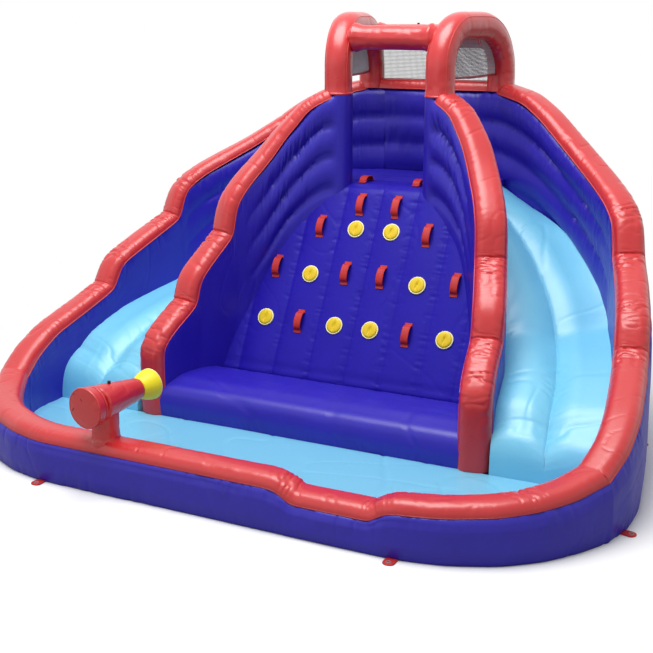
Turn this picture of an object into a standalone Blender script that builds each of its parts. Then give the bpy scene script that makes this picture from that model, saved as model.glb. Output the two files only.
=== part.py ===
"""Inflatable water slide: two curved slides, a climbing wall, a splash pool, a tower with
arches and nets, and a water cannon on a swivel. Metres, +Z up, the front faces -Y.

The plan is drawn from the front face of the entry step (y = 0), on the middle line (x = 0).
A parent empty then carries the whole slide so that the middle of its base is at the origin.
"""
import math

import bmesh
import bpy
from mathutils import Matrix, Vector

# Overall reach of the wall paths, from the front face of the entry step
SIDE_REACH = 1.8725
TOWER_REACH = 2.0
POOL_REACH = 0.945
TOWER_FOOT = 2.0

# Walls: inflated sides under a crowned cap
WALL = 0.185
WALL_FLARE = 0.03
RIB_DEPTH = 0.018
SEAM_GROOVE = 0.05
CAP_EDGE = 0.022
CAP_CROWN = 0.045
CAP_INSET = 0.002
TOUCH = 0.0003

# Tower posts, arches and beams
FRONT_POST_X = 0.354
FRONT_POST_SHARE = 0.605
REAR_POST_X = 0.48
POST_RADIUS = 0.088
ARCH_RISE = 0.432
ARCH_CORNER = 0.25
BEAM_RADIUS = 0.078
FRONT_BEAM_RISE = 0.365
REAR_BEAM_RISE = 0.36
BEAM_INSET = 0.035
POST_MARGIN = 0.006

# Splash pool
PAD_THICKNESS = 0.07
RIM_SEAM = 0.225
RIM_DIP = 0.062

# Entry step, climbing wall and platform
STEP_DEPTH = 0.53
STEP_HEIGHT = 0.28
STEP_CROWN = 0.02
CLIMB_TOP_SHARE = 0.5785
DECK_HEIGHT = 1.43
DECK_CORNER = 0.1
DECK_THICKNESS = 0.2
CLIMB_THICKNESS = 0.25
CLIMB_LEDGE = 0.17
CHANNEL_SHARE = 0.1335
DECK_STRAP_SHARE = 0.76
CHANNEL_COUNT = 8
CHANNEL_DEPTH = 0.03

# Slide beds
BED_THICKNESS = 0.13
BED_TUBE = 0.035
LIP_HEIGHT = 0.36
BASE_TOP_AT_LIP = 0.05

# Straps and holds on the climbing wall
STRAP_LENGTH = 0.155
STRAP_WIDTH = 0.05
STRAP_RISE = 0.04
STRAP_THICKNESS = 0.006
STRAP_FOOT = 0.022
HOLD_RADIUS = 0.058
HOLD_FLANGE = 0.006
HOLD_DOME = 0.024

# Nets between the posts
NET_THICKNESS = 0.004
NET_CELL = 0.062
NET_CORD = 0.012
NET_BORDER = 0.018
SIDE_NET_RISE = 0.115
HEM_RADIUS = 0.009

# Stake loops at the ground
LOOP_WIDTH = 0.06
LOOP_LENGTH = 0.07
LOOP_SEAM = 0.01
LOOP_THICKNESS = 0.006

# Water cannon
CANNON_X = -0.683
CANNON_POST_RADIUS = 0.075
CANNON_POST_TOP = 0.33
CANNON_COLLAR_TOP = 0.364
CANNON_AXIS_Z = 0.492
CANNON_TURN = 6.5
CANNON_BACK = 0.15
CANNON_BARREL_FRONT = 0.26
CANNON_LENGTH = 0.517
CANNON_REAR_RADIUS = 0.114
CANNON_FRONT_RADIUS = 0.061
CANNON_CAP_LENGTH = 0.062
CANNON_EDGE = 0.012
BALL_RADIUS = 0.056
BALL_DROP = 0.095
ELBOW_FORWARD = 0.03
SPIGOT_RADIUS = 0.022
SPIGOT_LENGTH = 0.03
NOZZLE_MOUTH_RADIUS = 0.088
NOZZLE_WALL = 0.012
NOZZLE_DEPTH = 0.085

# Water fittings, inflation sleeve and deflation zip
TUBE_RADIUS = 0.007
FITTING_RADIUS = 0.011
FITTING_LENGTH = 0.03
ARCH_FITTING_TURN = 26.5
BEAM_FITTING_X = -0.119
SLEEVE_RADIUS = 0.075
SLEEVE_LENGTH = 0.13
SLEEVE_X = -0.2
SLEEVE_Z = 0.16
SLEEVE_TIE = 0.006
ZIP_LENGTH = 0.5
ZIP_HEIGHT = 0.42
ZIP_WIDTH = 0.03
ZIP_THICKNESS = 0.003
SLIDER_LENGTH = 0.022
SLIDER_WIDTH = 0.014
SLIDER_THICKNESS = 0.008

# Wall paths beyond the posts: shares of the side reach, tower reach and tower foot
INNER_PATH_SHARES = (
    (0.283, 0.564, 0.955),
    (0.320, 0.541, 0.907),
    (0.355, 0.515, 0.868),
    (0.386, 0.485, 0.818),
    (0.415, 0.449, 0.772),
    (0.446, 0.405, 0.725),
    (0.476, 0.355, 0.659),
    (0.486, 0.335, 0.557),
    (0.514, 0.260, 0.490),
    (0.536, 0.198, 0.430),
    (0.540, 0.177, 0.355),
    (0.555, 0.085, 0.300),
    (0.569, 0.025, 0.250),
)
OUTER_PATH_SHARES = (
    (0.395, 0.943, 0.970),
    (0.481, 0.895, 0.922),
    (0.566, 0.845, 0.858),
    (0.648, 0.787, 0.800),
    (0.726, 0.718, 0.750),
    (0.796, 0.645, 0.703),
    (0.843, 0.583, 0.655),
    (0.860, 0.550, 0.555),
    (0.903, 0.435, 0.495),
    (0.943, 0.300, 0.430),
    (0.953, 0.260, 0.350),
    (0.977, 0.140, 0.300),
    (0.999, 0.000, 0.250),
)
OUTER_END_SHARES = (
    (0.999, -0.103, 0.200),
    (0.976, -0.190, 0.155),
)
# Height of the slide bed at each wall station, as a share of the bed's height at the platform
BED_SHARES = (0.944, 0.902, 0.839, 0.769, 0.685, 0.601, 0.517, 0.472, 0.434, 0.385, 0.367, 0.301)
# The rounded lip: shares of the way from the last bed station to the front, and of its height
LIP_SHARES = ((0.45, 1.0), (0.7, 0.9), (0.87, 0.72), (0.96, 0.52), (1.0, 0.34))
# The pool wall's corner: shares of the side reach, the pool reach and the rim's height
DIP_SHARES = ((0.5447, 0), (0.4967, 1), (0.267, 1), (0.219, 0))
CORNER_SHARES = (
    (0.972, 0.408, 1.36),
    (0.926, 0.575, 1.2),
    (0.865, 0.730, 1.12),
    (0.789, 0.852, 1.06),
    (0.678, 0.952, 1.02),
    (0.575, 1.000, 1.0),
)

# A wall's swollen outer side: shares of its height and of the flare
SWELL_SHARES = ((0.0, 0.6), (0.3, 1.0), (0.75, 0.75))
# The lowest rib's place on a wall's face, as a share of its height
LOWEST_RIB_SHARE = 0.7
# Where a cap's crown has its points, as shares of the cap's width
CAP_SHARES = (0.0, 0.15, 0.38, 0.62, 0.85, 1.0)
# The slide bed's two tubes: shares of its width and of their swelling
BED_PROFILE_SHARES = ((0.0, 0.3), (0.08, 0.75), (0.25, 1.0), (0.42, 0.75), (0.5, 0.0),
                      (0.58, 0.75), (0.75, 1.0), (0.92, 0.75), (1.0, 0.3))
# Places on the climbing wall: column in channel pitches, and share of the way up
STRAP_SHARES = ((0.5, 0.894), (1.5, 0.765), (2.5, 0.536), (0.5, 0.536), (1.5, 0.268))
HOLD_SHARES = ((0.5, 0.765), (1.5, 0.513), (2.5, 0.268), (0.5, 0.268))

ROYAL_BLUE = (0.028, 0.020, 0.40, 1.0)
RED = (0.62, 0.035, 0.035, 1.0)
PALE_BLUE = (0.25, 0.62, 0.86, 1.0)
YELLOW = (0.90, 0.78, 0.03, 1.0)
NET_GREY = (0.38, 0.38, 0.40, 1.0)
BLACK = (0.02, 0.02, 0.02, 1.0)
WHITE = (0.85, 0.85, 0.85, 1.0)

for old in list(bpy.data.objects):
    bpy.data.objects.remove(old, do_unlink=True)

parts = bpy.data.collections.new("water_slide")
cutters = bpy.data.collections.new("cutters")
bpy.context.scene.collection.children.link(parts)
bpy.context.scene.collection.children.link(cutters)


def make_material(name, colour, roughness):
    material = bpy.data.materials.new(name)
    material.use_nodes = True
    shader = material.node_tree.nodes["Principled BSDF"]
    shader.inputs["Base Color"].default_value = colour
    shader.inputs["Roughness"].default_value = roughness
    shader.inputs["Metallic"].default_value = 0.0
    return material


BLUE_VINYL = make_material("royal_blue_vinyl", ROYAL_BLUE, 0.35)
RED_VINYL = make_material("red_vinyl", RED, 0.35)
PALE_VINYL = make_material("pale_blue_vinyl", PALE_BLUE, 0.3)
YELLOW_VINYL = make_material("yellow_vinyl", YELLOW, 0.4)
NET_NYLON = make_material("grey_net", NET_GREY, 0.8)
BLACK_PLASTIC = make_material("black_plastic", BLACK, 0.45)
RED_WEBBING = make_material("red_webbing", RED, 0.8)
WHITE_ZIP = make_material("white_zip_tape", WHITE, 0.7)

base = bpy.data.objects.new("slide_middle", None)
parts.objects.link(base)


def add_object(name, data, material, parent=base):
    """Put a mesh or curve in the parts collection with its material and parent."""
    data.materials.clear()
    data.materials.append(material)
    obj = bpy.data.objects.new(name, data)
    obj.parent = parent
    parts.objects.link(obj)
    return obj


def add_cutter(name, mesh):
    obj = bpy.data.objects.new(name, mesh)
    obj.parent = base
    obj.hide_render = True
    obj.display_type = "WIRE"
    cutters.objects.link(obj)
    return obj


def boolean(obj, cutter, operation):
    """Cut or intersect with a cutter that stays in the file."""
    modifier = obj.modifiers.new(operation.lower(), "BOOLEAN")
    modifier.operation = operation
    modifier.solver = "EXACT"
    modifier.object = cutter


def loft_mesh(name, sections, swap_diagonal=False):
    """Skin like sections with triangles, all split the same way, and close both ends."""
    bm = bmesh.new()
    rings = [[bm.verts.new(point) for point in section] for section in sections]
    count = len(rings[0])
    for near, far in zip(rings, rings[1:]):
        for k in range(count):
            n = (k + 1) % count
            if swap_diagonal:
                bm.faces.new((near[k], near[n], far[k]))
                bm.faces.new((near[n], far[n], far[k]))
            else:
                bm.faces.new((near[k], near[n], far[n]))
                bm.faces.new((near[k], far[n], far[k]))
    bm.faces.new(rings[0])
    bm.faces.new(rings[-1])
    bmesh.ops.recalc_face_normals(bm, faces=bm.faces)
    mesh = bpy.data.meshes.new(name)
    bm.to_mesh(mesh)
    bm.free()
    return mesh


def mirrored(mesh, name):
    """The same shape on the left side."""
    copy = mesh.copy()
    copy.name = name
    copy.transform(Matrix.Diagonal((-1.0, 1.0, 1.0, 1.0)))
    copy.flip_normals()
    return copy


def add_pair(name, mesh, material):
    """A right piece and its mirror image on the left."""
    right = add_object("right_" + name, mesh, material)
    left = add_object("left_" + name, mirrored(mesh, "left_" + name), material)
    return right, left


def flat_mesh(name, outlines, thickness, placing=None):
    """A flat outline, with any holes, as a filled curve with thickness, made a closed mesh."""
    curve = bpy.data.curves.new(name, "CURVE")
    curve.dimensions = "2D"
    curve.fill_mode = "BOTH"
    curve.extrude = thickness / 2
    for outline in outlines:
        spline = curve.splines.new("POLY")
        spline.points.add(len(outline) - 1)
        for point, (x, y) in zip(spline.points, outline):
            point.co = (x, y, 0.0, 1.0)
        spline.use_cyclic_u = True
    return meshed(name, curve, placing)


def meshed(name, curve, placing=None):
    """Make a curve a closed mesh, with its caps welded on."""
    temporary = bpy.data.objects.new(name, curve)
    bpy.context.scene.collection.objects.link(temporary)
    bpy.context.view_layer.update()
    evaluated = temporary.evaluated_get(bpy.context.evaluated_depsgraph_get())
    mesh = bpy.data.meshes.new_from_object(evaluated)
    bpy.data.objects.remove(temporary)
    bm = bmesh.new()
    bm.from_mesh(mesh)
    bmesh.ops.remove_doubles(bm, verts=bm.verts, dist=TOUCH / 10)
    bmesh.ops.recalc_face_normals(bm, faces=bm.faces)
    if placing is not None:
        bm.transform(placing)
    bm.to_mesh(mesh)
    bm.free()
    return mesh


def tube_curve(name, points, radius, resolution=3):
    """A round tube along a list of points."""
    curve = bpy.data.curves.new(name, "CURVE")
    curve.dimensions = "3D"
    curve.bevel_depth = radius
    curve.bevel_resolution = resolution
    curve.use_fill_caps = True
    spline = curve.splines.new("POLY")
    spline.points.add(len(points) - 1)
    for point, place in zip(spline.points, points):
        point.co = (*place, 1.0)
    return curve


def turned(name, profile, material, parent, steps=28, centre=(0.0, 0.0, 0.0)):
    """Turn a closed profile of (radius, height) about Z, then lay the axis along +Y."""
    mesh = bpy.data.meshes.new(name)
    bm = bmesh.new()
    ring = [bm.verts.new((radius, 0.0, height)) for radius, height in profile]
    for a, b in zip(ring, ring[1:]):
        bm.edges.new((a, b))
    bmesh.ops.spin(bm, geom=bm.verts[:] + bm.edges[:], cent=(0, 0, 0), axis=(0, 0, 1),
                   angle=math.tau, steps=steps, use_merge=True)
    bmesh.ops.remove_doubles(bm, verts=bm.verts, dist=TOUCH / 10)
    bmesh.ops.recalc_face_normals(bm, faces=bm.faces)
    bm.transform(Matrix.Translation(centre) @ Matrix.Rotation(-math.pi / 2, 4, "X"))
    bm.to_mesh(mesh)
    bm.free()
    mesh.shade_smooth()
    return add_object(name, mesh, material, parent)


# Plan geometry: a path is a list of Vector (x, y); its sides lie to the right and the left
def path_sides(path, half):
    """Mitred lines on both sides of a path: the right-hand one first."""
    right = []
    left = []
    for i, point in enumerate(path):
        before = (point - path[i - 1]).normalized() if i else None
        after = (path[i + 1] - point).normalized() if i < len(path) - 1 else None
        if before is None:
            before = after
        if after is None:
            after = before
        along = (before + after).normalized()
        across = Vector((along.y, -along.x)) * half / max(along.dot(after), 0.5)
        right.append(point + across)
        left.append(point - across)
    return right, left


def ahead_of(line, y):
    """The part of a line that lies in front of a depth, cut square there."""
    for i, point in enumerate(line):
        if point.y < y:
            before = line[i - 1]
            cut = before.lerp(point, (before.y - y) / (before.y - point.y))
            return [cut] + line[i:]
    return []


def stretched(path, extra):
    """The path with its first point moved out by a length."""
    return [path[0] - (path[1] - path[0]).normalized() * extra] + path[1:]


def wall_section(inner, outer, height, inner_ribs=(), outer_swell=0.0, foot=0.0):
    """One upright section of a wall, from its inner foot round to its inner top."""
    inner = Vector((inner.x, inner.y))
    outer = Vector((outer.x, outer.y))
    out = (outer - inner).normalized()
    clear = height - foot

    def at(side, offset, share):
        place = side + out * offset
        return (place.x, place.y, foot + clear * share)

    section = [at(inner, 0.0, 0.0), at(outer, outer_swell * SWELL_SHARES[0][1], 0.0)]
    for share, swell in SWELL_SHARES[1:]:
        section.append(at(outer, outer_swell * swell, share))
    section.append(at(outer, 0.0, 1.0))
    section.append(at(inner, 0.0, 1.0))
    for share in inner_ribs:
        groove = min(SEAM_GROOVE / 2 / clear, (inner_ribs[0] - inner_ribs[1]) / 3)
        section.append(at(inner, 0.0, share + groove))
        section.append(at(inner, RIB_DEPTH, share))
        section.append(at(inner, 0.0, share - groove))
    return section


def cap_sections(path, heights, half, extra=0.0, sides=None):
    """Crowned ribbon sections on top of a wall, square to its slope."""
    right, left = path_sides(path, half - CAP_INSET + extra)
    if sides is not None:
        right = [a.lerp(b, (CAP_INSET - extra) / (a - b).length) for a, b in zip(*sides)]
        left = [b.lerp(a, (CAP_INSET - extra) / (a - b).length) for a, b in zip(*sides)]
    spine = [Vector((p.x, p.y, z)) for p, z in zip(path, heights)]
    sections = []
    for i, place in enumerate(spine):
        before = (place - spine[i - 1]).normalized() if i else None
        after = (spine[i + 1] - place).normalized() if i < len(spine) - 1 else None
        if before is None:
            before = after
        if after is None:
            after = before
        along = (before + after).normalized()
        across = (right[i] - left[i]).normalized().to_3d()
        up = across.cross(along).normalized()
        if up.dot(across.cross(before)) < 0:
            up.negate()
        up = up if up.z > 0 or abs(up.z) < TOUCH else -up
        mitre = 1.0 / max(along.dot(after), 0.5)
        level = along.xy.length
        if i in (0, len(spine) - 1) and level > 0.5:
            up = Vector((0.0, 0.0, 1.0))
            mitre = 1.0 / level
        a = Vector((right[i].x, right[i].y, heights[i]))
        b = Vector((left[i].x, left[i].y, heights[i]))
        lift = TOUCH - extra
        section = [a + up * lift * mitre, b + up * lift * mitre]
        for share in reversed(CAP_SHARES):
            rise = CAP_EDGE + CAP_CROWN * math.sin(math.pi * share) + extra
            section.append(a.lerp(b, share) + up * rise * mitre)
        sections.append(section)
    return sections


def cap_mesh(name, path, heights, half, extra=0.0):
    return loft_mesh(name, cap_sections(path, heights, half, extra), swap_diagonal=True)


# Paths of the right-hand walls
def side_path(post, shares, radius):
    """Wall path and heights from behind its post outwards, by shares."""
    points = [Vector((x * SIDE_REACH, y * TOWER_REACH)) for x, y, z in shares]
    heights = [z * TOWER_FOOT for x, y, z in shares]
    along = (points[0] - post).normalized()
    reach = radius + TOUCH
    start = [post - along * (radius + POST_MARGIN), post + along * reach]
    return start + points, [TOWER_FOOT, TOWER_FOOT] + heights


front_post = Vector((FRONT_POST_X, TOWER_REACH * FRONT_POST_SHARE))
rear_post = Vector((REAR_POST_X, TOWER_REACH))
climb_top_y = TOWER_REACH * CLIMB_TOP_SHARE
channel_pitch = SIDE_REACH * CHANNEL_SHARE
front_beam_y = front_post.y + BEAM_INSET
rear_beam_y = rear_post.y - BEAM_INSET
front_beam_z = TOWER_FOOT + FRONT_BEAM_RISE
rear_beam_z = TOWER_FOOT + REAR_BEAM_RISE
side_net_foot = TOWER_FOOT + SIDE_NET_RISE
inner_path, inner_heights = side_path(front_post, INNER_PATH_SHARES, POST_RADIUS)
outer_path, outer_heights = side_path(
    rear_post, OUTER_PATH_SHARES + OUTER_END_SHARES, POST_RADIUS)
bed_rows = len(INNER_PATH_SHARES) + 1

inner_right, inner_left = path_sides(inner_path, WALL / 2)
outer_right, outer_left = path_sides(outer_path, WALL / 2)
inner_clear = path_sides(stretched(inner_path, TOUCH), WALL / 2 + TOUCH)
outer_clear = path_sides(stretched(outer_path, TOUCH), WALL / 2 + TOUCH)


def bed_height(row):
    """Slide bed height at a wall station; station 1 is at the platform."""
    return DECK_HEIGHT if row < 2 else DECK_HEIGHT * BED_SHARES[row - 2]


def rib_shares(row, height):
    """Two ribs on a wall's face, a third and two thirds of the way up from the bed."""
    low = min(bed_height(min(row, bed_rows - 1)) / height, LOWEST_RIB_SHARE)
    return (low + (1 - low) * 2 / 3, low + (1 - low) / 3)


def build_side_walls():
    inner_sections = []
    for row, height in enumerate(inner_heights):
        inner_sections.append(wall_section(
            inner_right[row], inner_left[row], height, rib_shares(row, height)))
    add_pair("inner_wall", loft_mesh("right_inner_wall", inner_sections), BLUE_VINYL)
    outer_sections = []
    for row, height in enumerate(outer_heights):
        outer_sections.append(wall_section(
            outer_right[row], outer_left[row], height, rib_shares(row, height), WALL_FLARE))
    add_pair("outer_wall", loft_mesh("right_outer_wall", outer_sections), BLUE_VINYL)


def build_side_caps():
    """Red caps; the inner one runs on down the front face of its wall."""
    top = list(zip(inner_path[1:], inner_heights[1:]))
    end = inner_path[-1]
    foot = PAD_THICKNESS + TOUCH
    along = (end - inner_path[-2]).normalized()
    path = [place for place, height in top] + [end + along * TOUCH]
    heights = [height for place, height in top] + [foot]
    mesh = front_cap("right_inner_cap", path, heights)
    add_pair("inner_cap", mesh, RED_VINYL)
    mesh = cap_mesh("right_outer_cap", outer_path[1:], outer_heights[1:], WALL / 2)
    add_pair("outer_cap", mesh, RED_VINYL)


def front_cap(name, path, heights):
    """A cap whose last section ends level at the foot of the wall's front face."""
    sections = cap_sections(path, heights, WALL / 2)
    foot = heights[-1]
    sections[-1] = [Vector((p.x, p.y, foot)) for p in sections[-1]]
    return loft_mesh(name, sections, swap_diagonal=True)


def rear_cap_line():
    """Middle line of the rear wall's cap, and half its width."""
    inner = outer_clear[0][0]
    outer = outer_clear[1][0]
    middle = (inner + outer) / 2
    end = middle.x - POST_MARGIN
    return [Vector((end, middle.y)), Vector((-end, middle.y))], (outer.y - inner.y) / 2


def build_rear_wall():
    """The wall behind the platform, between the starts of the outer walls."""
    inner = outer_clear[0][0]
    outer = outer_clear[1][0]
    rib_low = DECK_HEIGHT / TOWER_FOOT
    ribs = (rib_low + (1 - rib_low) * 2 / 3, rib_low + (1 - rib_low) / 3)
    sections = []
    for side in (1, -1):
        a = Vector((inner.x * side, inner.y))
        b = Vector((outer.x * side, outer.y))
        section = wall_section(a, b, TOWER_FOOT, ribs)
        sections.append(section)
    add_object("rear_wall", loft_mesh("rear_wall", sections), BLUE_VINYL)
    path, half = rear_cap_line()
    mesh = cap_mesh("rear_wall_cap", path, [TOWER_FOOT, TOWER_FOOT], half)
    add_object("rear_wall_cap", mesh, RED_VINYL)


# Pool wall: right corner, straight front with its dip, left corner
def pool_path():
    corner = [(Vector((x * SIDE_REACH, -y * POOL_REACH)), rise * RIM_SEAM)
              for x, y, rise in CORNER_SHARES]
    corner[0] = (outer_path[-1] + (corner[1][0] - corner[0][0]).normalized() * TOUCH,
                 outer_heights[-1])
    front = [(Vector((x * SIDE_REACH, -POOL_REACH)), RIM_SEAM - RIM_DIP * dip)
             for x, dip in DIP_SHARES]
    left = [(Vector((-p.x, p.y)), z) for p, z in reversed(corner)]
    whole = corner + front + left
    return [p for p, z in whole], [z for p, z in whole]


rim_path, rim_heights = pool_path()
rim_right, rim_left = path_sides(rim_path, WALL / 2)
rim_clear = path_sides(rim_path, WALL / 2 + TOUCH)


def match_ends(lines):
    """Make the pool wall's end faces lie along the outer walls' end faces."""
    gap = Vector((0.0, -TOUCH))
    for line, corner in zip(lines, (outer_right[-1], outer_left[-1])):
        line[0] = corner + gap
        line[-1] = Vector((-corner.x, corner.y)) + gap
    return lines


def build_pool():
    right, left = match_ends((list(rim_right), list(rim_left)))
    sections = [wall_section(a, b, z, (), WALL_FLARE)
                for a, b, z in zip(right, left, rim_heights)]
    add_object("front_pool_wall", loft_mesh("front_pool_wall", sections), BLUE_VINYL)
    sections = cap_sections(rim_path, rim_heights, WALL / 2, 0.0, (right, left))
    add_object("front_rim_cap", loft_mesh("front_rim_cap", sections, True), RED_VINYL)
    right_side = ahead_of(outer_clear[0], -TOUCH)
    left_side = [Vector((-p.x, p.y)) for p in reversed(right_side)]
    outline = right_side + rim_clear[0][1:-1] + left_side
    lift = Matrix.Translation((0.0, 0.0, PAD_THICKNESS / 2))
    mesh = flat_mesh("pool_floor", [outline], PAD_THICKNESS, lift)
    add_object("pool_floor", mesh, PALE_VINYL)


def bay_outline():
    """Plan of the middle bay between the inner walls and round the platform."""
    right = [outer_clear[0][0], outer_clear[0][1], inner_clear[1][1], inner_clear[1][0]]
    right += inner_clear[0]
    right[-1] = Vector((right[-1].x, right[-1].y - WALL))
    right[0] = Vector((right[0].x, right[0].y - TOUCH))
    return right + [Vector((-p.x, p.y)) for p in reversed(right)]


def channel_swell(x):
    """How far the climbing wall stands in from its crowns at a place across it."""
    share = (x / channel_pitch) % 1.0
    return CHANNEL_DEPTH * (abs(math.sin(math.pi * share)) - 1.0)


def climb_points(swell):
    """The climbing wall's side outline at one station, foot first."""
    foot_y = STEP_DEPTH + TOUCH
    slope = Vector((climb_top_y - STEP_DEPTH, DECK_HEIGHT - STEP_HEIGHT)).normalized()
    normal = Vector((-slope.y, slope.x))
    foot = Vector((foot_y, STEP_HEIGHT - TOUCH))
    top = Vector((climb_top_y, DECK_HEIGHT))
    turn = math.acos(slope.x)
    run = DECK_CORNER * math.tan(turn / 2)
    start = top - slope * run
    end = top + Vector((run, 0.0))
    corner = (start + end) / 2 * 0.5 + top * 0.5
    back = end.x + CLIMB_LEDGE
    drop = DECK_HEIGHT - DECK_THICKNESS
    shift = drop / slope.y * slope.x
    return [
        Vector((foot_y, 0.0)),
        foot,
        foot + slope * CHANNEL_DEPTH * 2 + normal * swell,
        start + normal * swell,
        corner + (normal + Vector((0.0, 1.0))) / 2 * swell,
        end + Vector((0.0, swell / 2)),
        Vector((back, DECK_HEIGHT)),
        Vector((back, drop)),
        Vector((back - shift, 0.0)),
    ]


def build_middle():
    """Entry step, climbing wall, platform deck and the chamber under it."""
    reach = SIDE_REACH * INNER_PATH_SHARES[-1][0] + WALL
    outline = [(p.x, p.y) for p in bay_outline()]
    bay = add_cutter("bay_cutter", flat_mesh("bay_cutter", [outline], TOWER_FOOT * 3))
    sections = []
    steps = 4
    for k in range(-CHANNEL_COUNT * steps // 2, CHANNEL_COUNT * steps // 2 + 1):
        x = k * channel_pitch / steps
        sections.append([(x, p.x, p.y) for p in climb_points(channel_swell(x))])
    wall = add_object("climbing_wall", loft_mesh("climbing_wall", sections), BLUE_VINYL)
    boolean(wall, bay, "INTERSECT")

    across = Matrix(((0, 0, 1, 0), (1, 0, 0, 0), (0, 1, 0, 0), (0, 0, 0, 1)))
    radius = STEP_HEIGHT * 0.25
    step_outline = [
        (0.0, 0.0),
        (0.0, PAD_THICKNESS + TOUCH),
        (-STEP_CROWN / 2, STEP_HEIGHT * 0.5),
        (0.0, STEP_HEIGHT - radius),
        (radius * 0.3, STEP_HEIGHT - radius * 0.3),
        (radius, STEP_HEIGHT),
        (STEP_DEPTH * 0.45, STEP_HEIGHT + STEP_CROWN),
        (STEP_DEPTH * 0.8, STEP_HEIGHT + STEP_CROWN * 0.6),
        (STEP_DEPTH, STEP_HEIGHT - STEP_CROWN),
        (STEP_DEPTH, 0.0),
    ]
    mesh = flat_mesh("entry_step", [step_outline], reach * 2, across)
    step = add_object("entry_step", mesh, BLUE_VINYL)
    boolean(step, bay, "INTERSECT")

    back = climb_points(0.0)[-3:]
    rear = outer_clear[0][0].y + WALL
    under = DECK_HEIGHT - DECK_THICKNESS - TOUCH
    deck_outline = [
        (back[0].x + TOUCH, under + TOUCH),
        (rear, under + TOUCH),
        (rear, DECK_HEIGHT),
        (back[0].x + TOUCH, DECK_HEIGHT),
    ]
    mesh = flat_mesh("platform_deck", [deck_outline], reach * 2, across)
    deck = add_object("platform_deck", mesh, BLUE_VINYL)
    boolean(deck, bay, "INTERSECT")

    base_outline = [
        (back[2].x + TOUCH * 2, 0.0),
        (rear, 0.0),
        (rear, under),
        (back[1].x + TOUCH * 2, under),
    ]
    mesh = flat_mesh("tower_base", [base_outline], reach * 2, across)
    tower_base = add_object("tower_base", mesh, BLUE_VINYL)
    boolean(tower_base, bay, "INTERSECT")


def bed_lines():
    """Inner and outer edges, top heights and undersides of the right slide bed."""
    inner = [p.copy() for p in inner_clear[1][1:]]
    outer = [p.copy() for p in outer_clear[0][1:bed_rows + 1]]
    tops = [bed_height(row) for row in range(1, bed_rows)]
    inner_end = inner.pop()
    outer_end = outer.pop()
    inner[0] += (inner[1] - inner[0]).normalized() * TOUCH * 2
    outer[0] += (outer[1] - outer[0]).normalized() * TOUCH * 2
    inner_from = inner[-1]
    outer_from = outer[-1]
    inner_end = inner_from.lerp(inner_end, inner_from.y / (inner_from.y - inner_end.y))
    outer_end = outer_from.lerp(outer_end, outer_from.y / (outer_from.y - outer_end.y))
    for along, rise in LIP_SHARES:
        inner.append(inner_from.lerp(inner_end, along))
        outer.append(outer_from.lerp(outer_end, along))
        tops.append(LIP_HEIGHT * rise)
    unders = [max(top - BED_THICKNESS, BASE_TOP_AT_LIP) for top in tops]
    last = len(LIP_SHARES)
    unders[-last:] = [BASE_TOP_AT_LIP] * last
    return inner, outer, tops, unders


def build_slides():
    inner, outer, tops, unders = bed_lines()
    beds = []
    bases = []
    for a, b, top, under in zip(inner, outer, tops, unders):
        low = [Vector((a.x, a.y, under)), Vector((b.x, b.y, under))]
        swell = min(BED_TUBE, (top - under) / 2)
        crown = []
        for across, rise in reversed(BED_PROFILE_SHARES):
            place = a.lerp(b, across)
            crown.append(Vector((place.x, place.y, top + swell * (rise - 1.0))))
        beds.append(low + crown)
        bases.append([
            Vector((a.x, a.y, 0.0)),
            Vector((b.x, b.y, 0.0)),
            Vector((b.x, b.y, under - TOUCH)),
            Vector((a.x, a.y, under - TOUCH)),
        ])
    add_pair("slide_bed", loft_mesh("right_slide_bed", beds, True), PALE_VINYL)
    add_pair("slide_base", loft_mesh("right_slide_base", bases), BLUE_VINYL)


# Tower
def arch_frame():
    """Unit step from the front post to the rear post, and their distance."""
    run = rear_post - front_post
    return run.normalized(), run.length


def arch_points(inset=0.0, foot=TOWER_FOOT):
    """The arch's middle line, or a line inside it, as (distance back, height)."""
    along, span = arch_frame()
    corner = ARCH_CORNER - inset
    top = TOWER_FOOT + ARCH_RISE - inset
    spring = top - corner
    steps = 6
    points = [(inset, foot)]
    for k in range(steps + 1):
        turn = math.pi / 2 * k / steps
        points.append((inset + corner * (1 - math.cos(turn)), spring + corner * math.sin(turn)))
    back = [(span - s, z) for s, z in reversed(points)]
    return points + back


def arch_place(s, z):
    along, span = arch_frame()
    place = front_post + along * s
    return Vector((place.x, place.y, z))


def build_tower():
    foot = TOWER_FOOT + TOUCH
    line = [arch_place(s, z) for s, z in arch_points(0.0, foot)]
    mesh = meshed("right_tower_arch", tube_curve("arch_line", line, POST_RADIUS, 4))
    mesh.shade_smooth()
    add_pair("tower_arch", mesh, RED_VINYL)
    low = [Vector((line[0].x, line[0].y, TOWER_FOOT - WALL))] + line
    low.append(Vector((line[-1].x, line[-1].y, TOWER_FOOT - WALL)))
    cut = meshed("arch_cutter", tube_curve("arch_cut_line", low, POST_RADIUS + TOUCH, 4))
    right_cut = add_cutter("right_arch_cutter", cut)
    left_cut = add_cutter("left_arch_cutter", mirrored(cut, "left_arch_cutter"))
    ends = [(-REAR_POST_X, rear_beam_y, rear_beam_z), (REAR_POST_X, rear_beam_y, rear_beam_z)]
    around = tube_curve("rear_beam_cut_line", ends, BEAM_RADIUS + TOUCH, 4)
    add_cutter("rear_beam_cutter", meshed("rear_beam_cutter", around))
    for name, x, y, z in (
        ("front_beam", FRONT_POST_X, front_beam_y, front_beam_z),
        ("rear_beam", REAR_POST_X, rear_beam_y, rear_beam_z),
    ):
        ends = [(-x, y, z), (x, y, z)]
        tube = meshed(name, tube_curve(name + "_line", ends, BEAM_RADIUS, 4))
        tube.shade_smooth()
        beam = add_object(name, tube, RED_VINYL)
        boolean(beam, right_cut, "DIFFERENCE")
        boolean(beam, left_cut, "DIFFERENCE")


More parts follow.
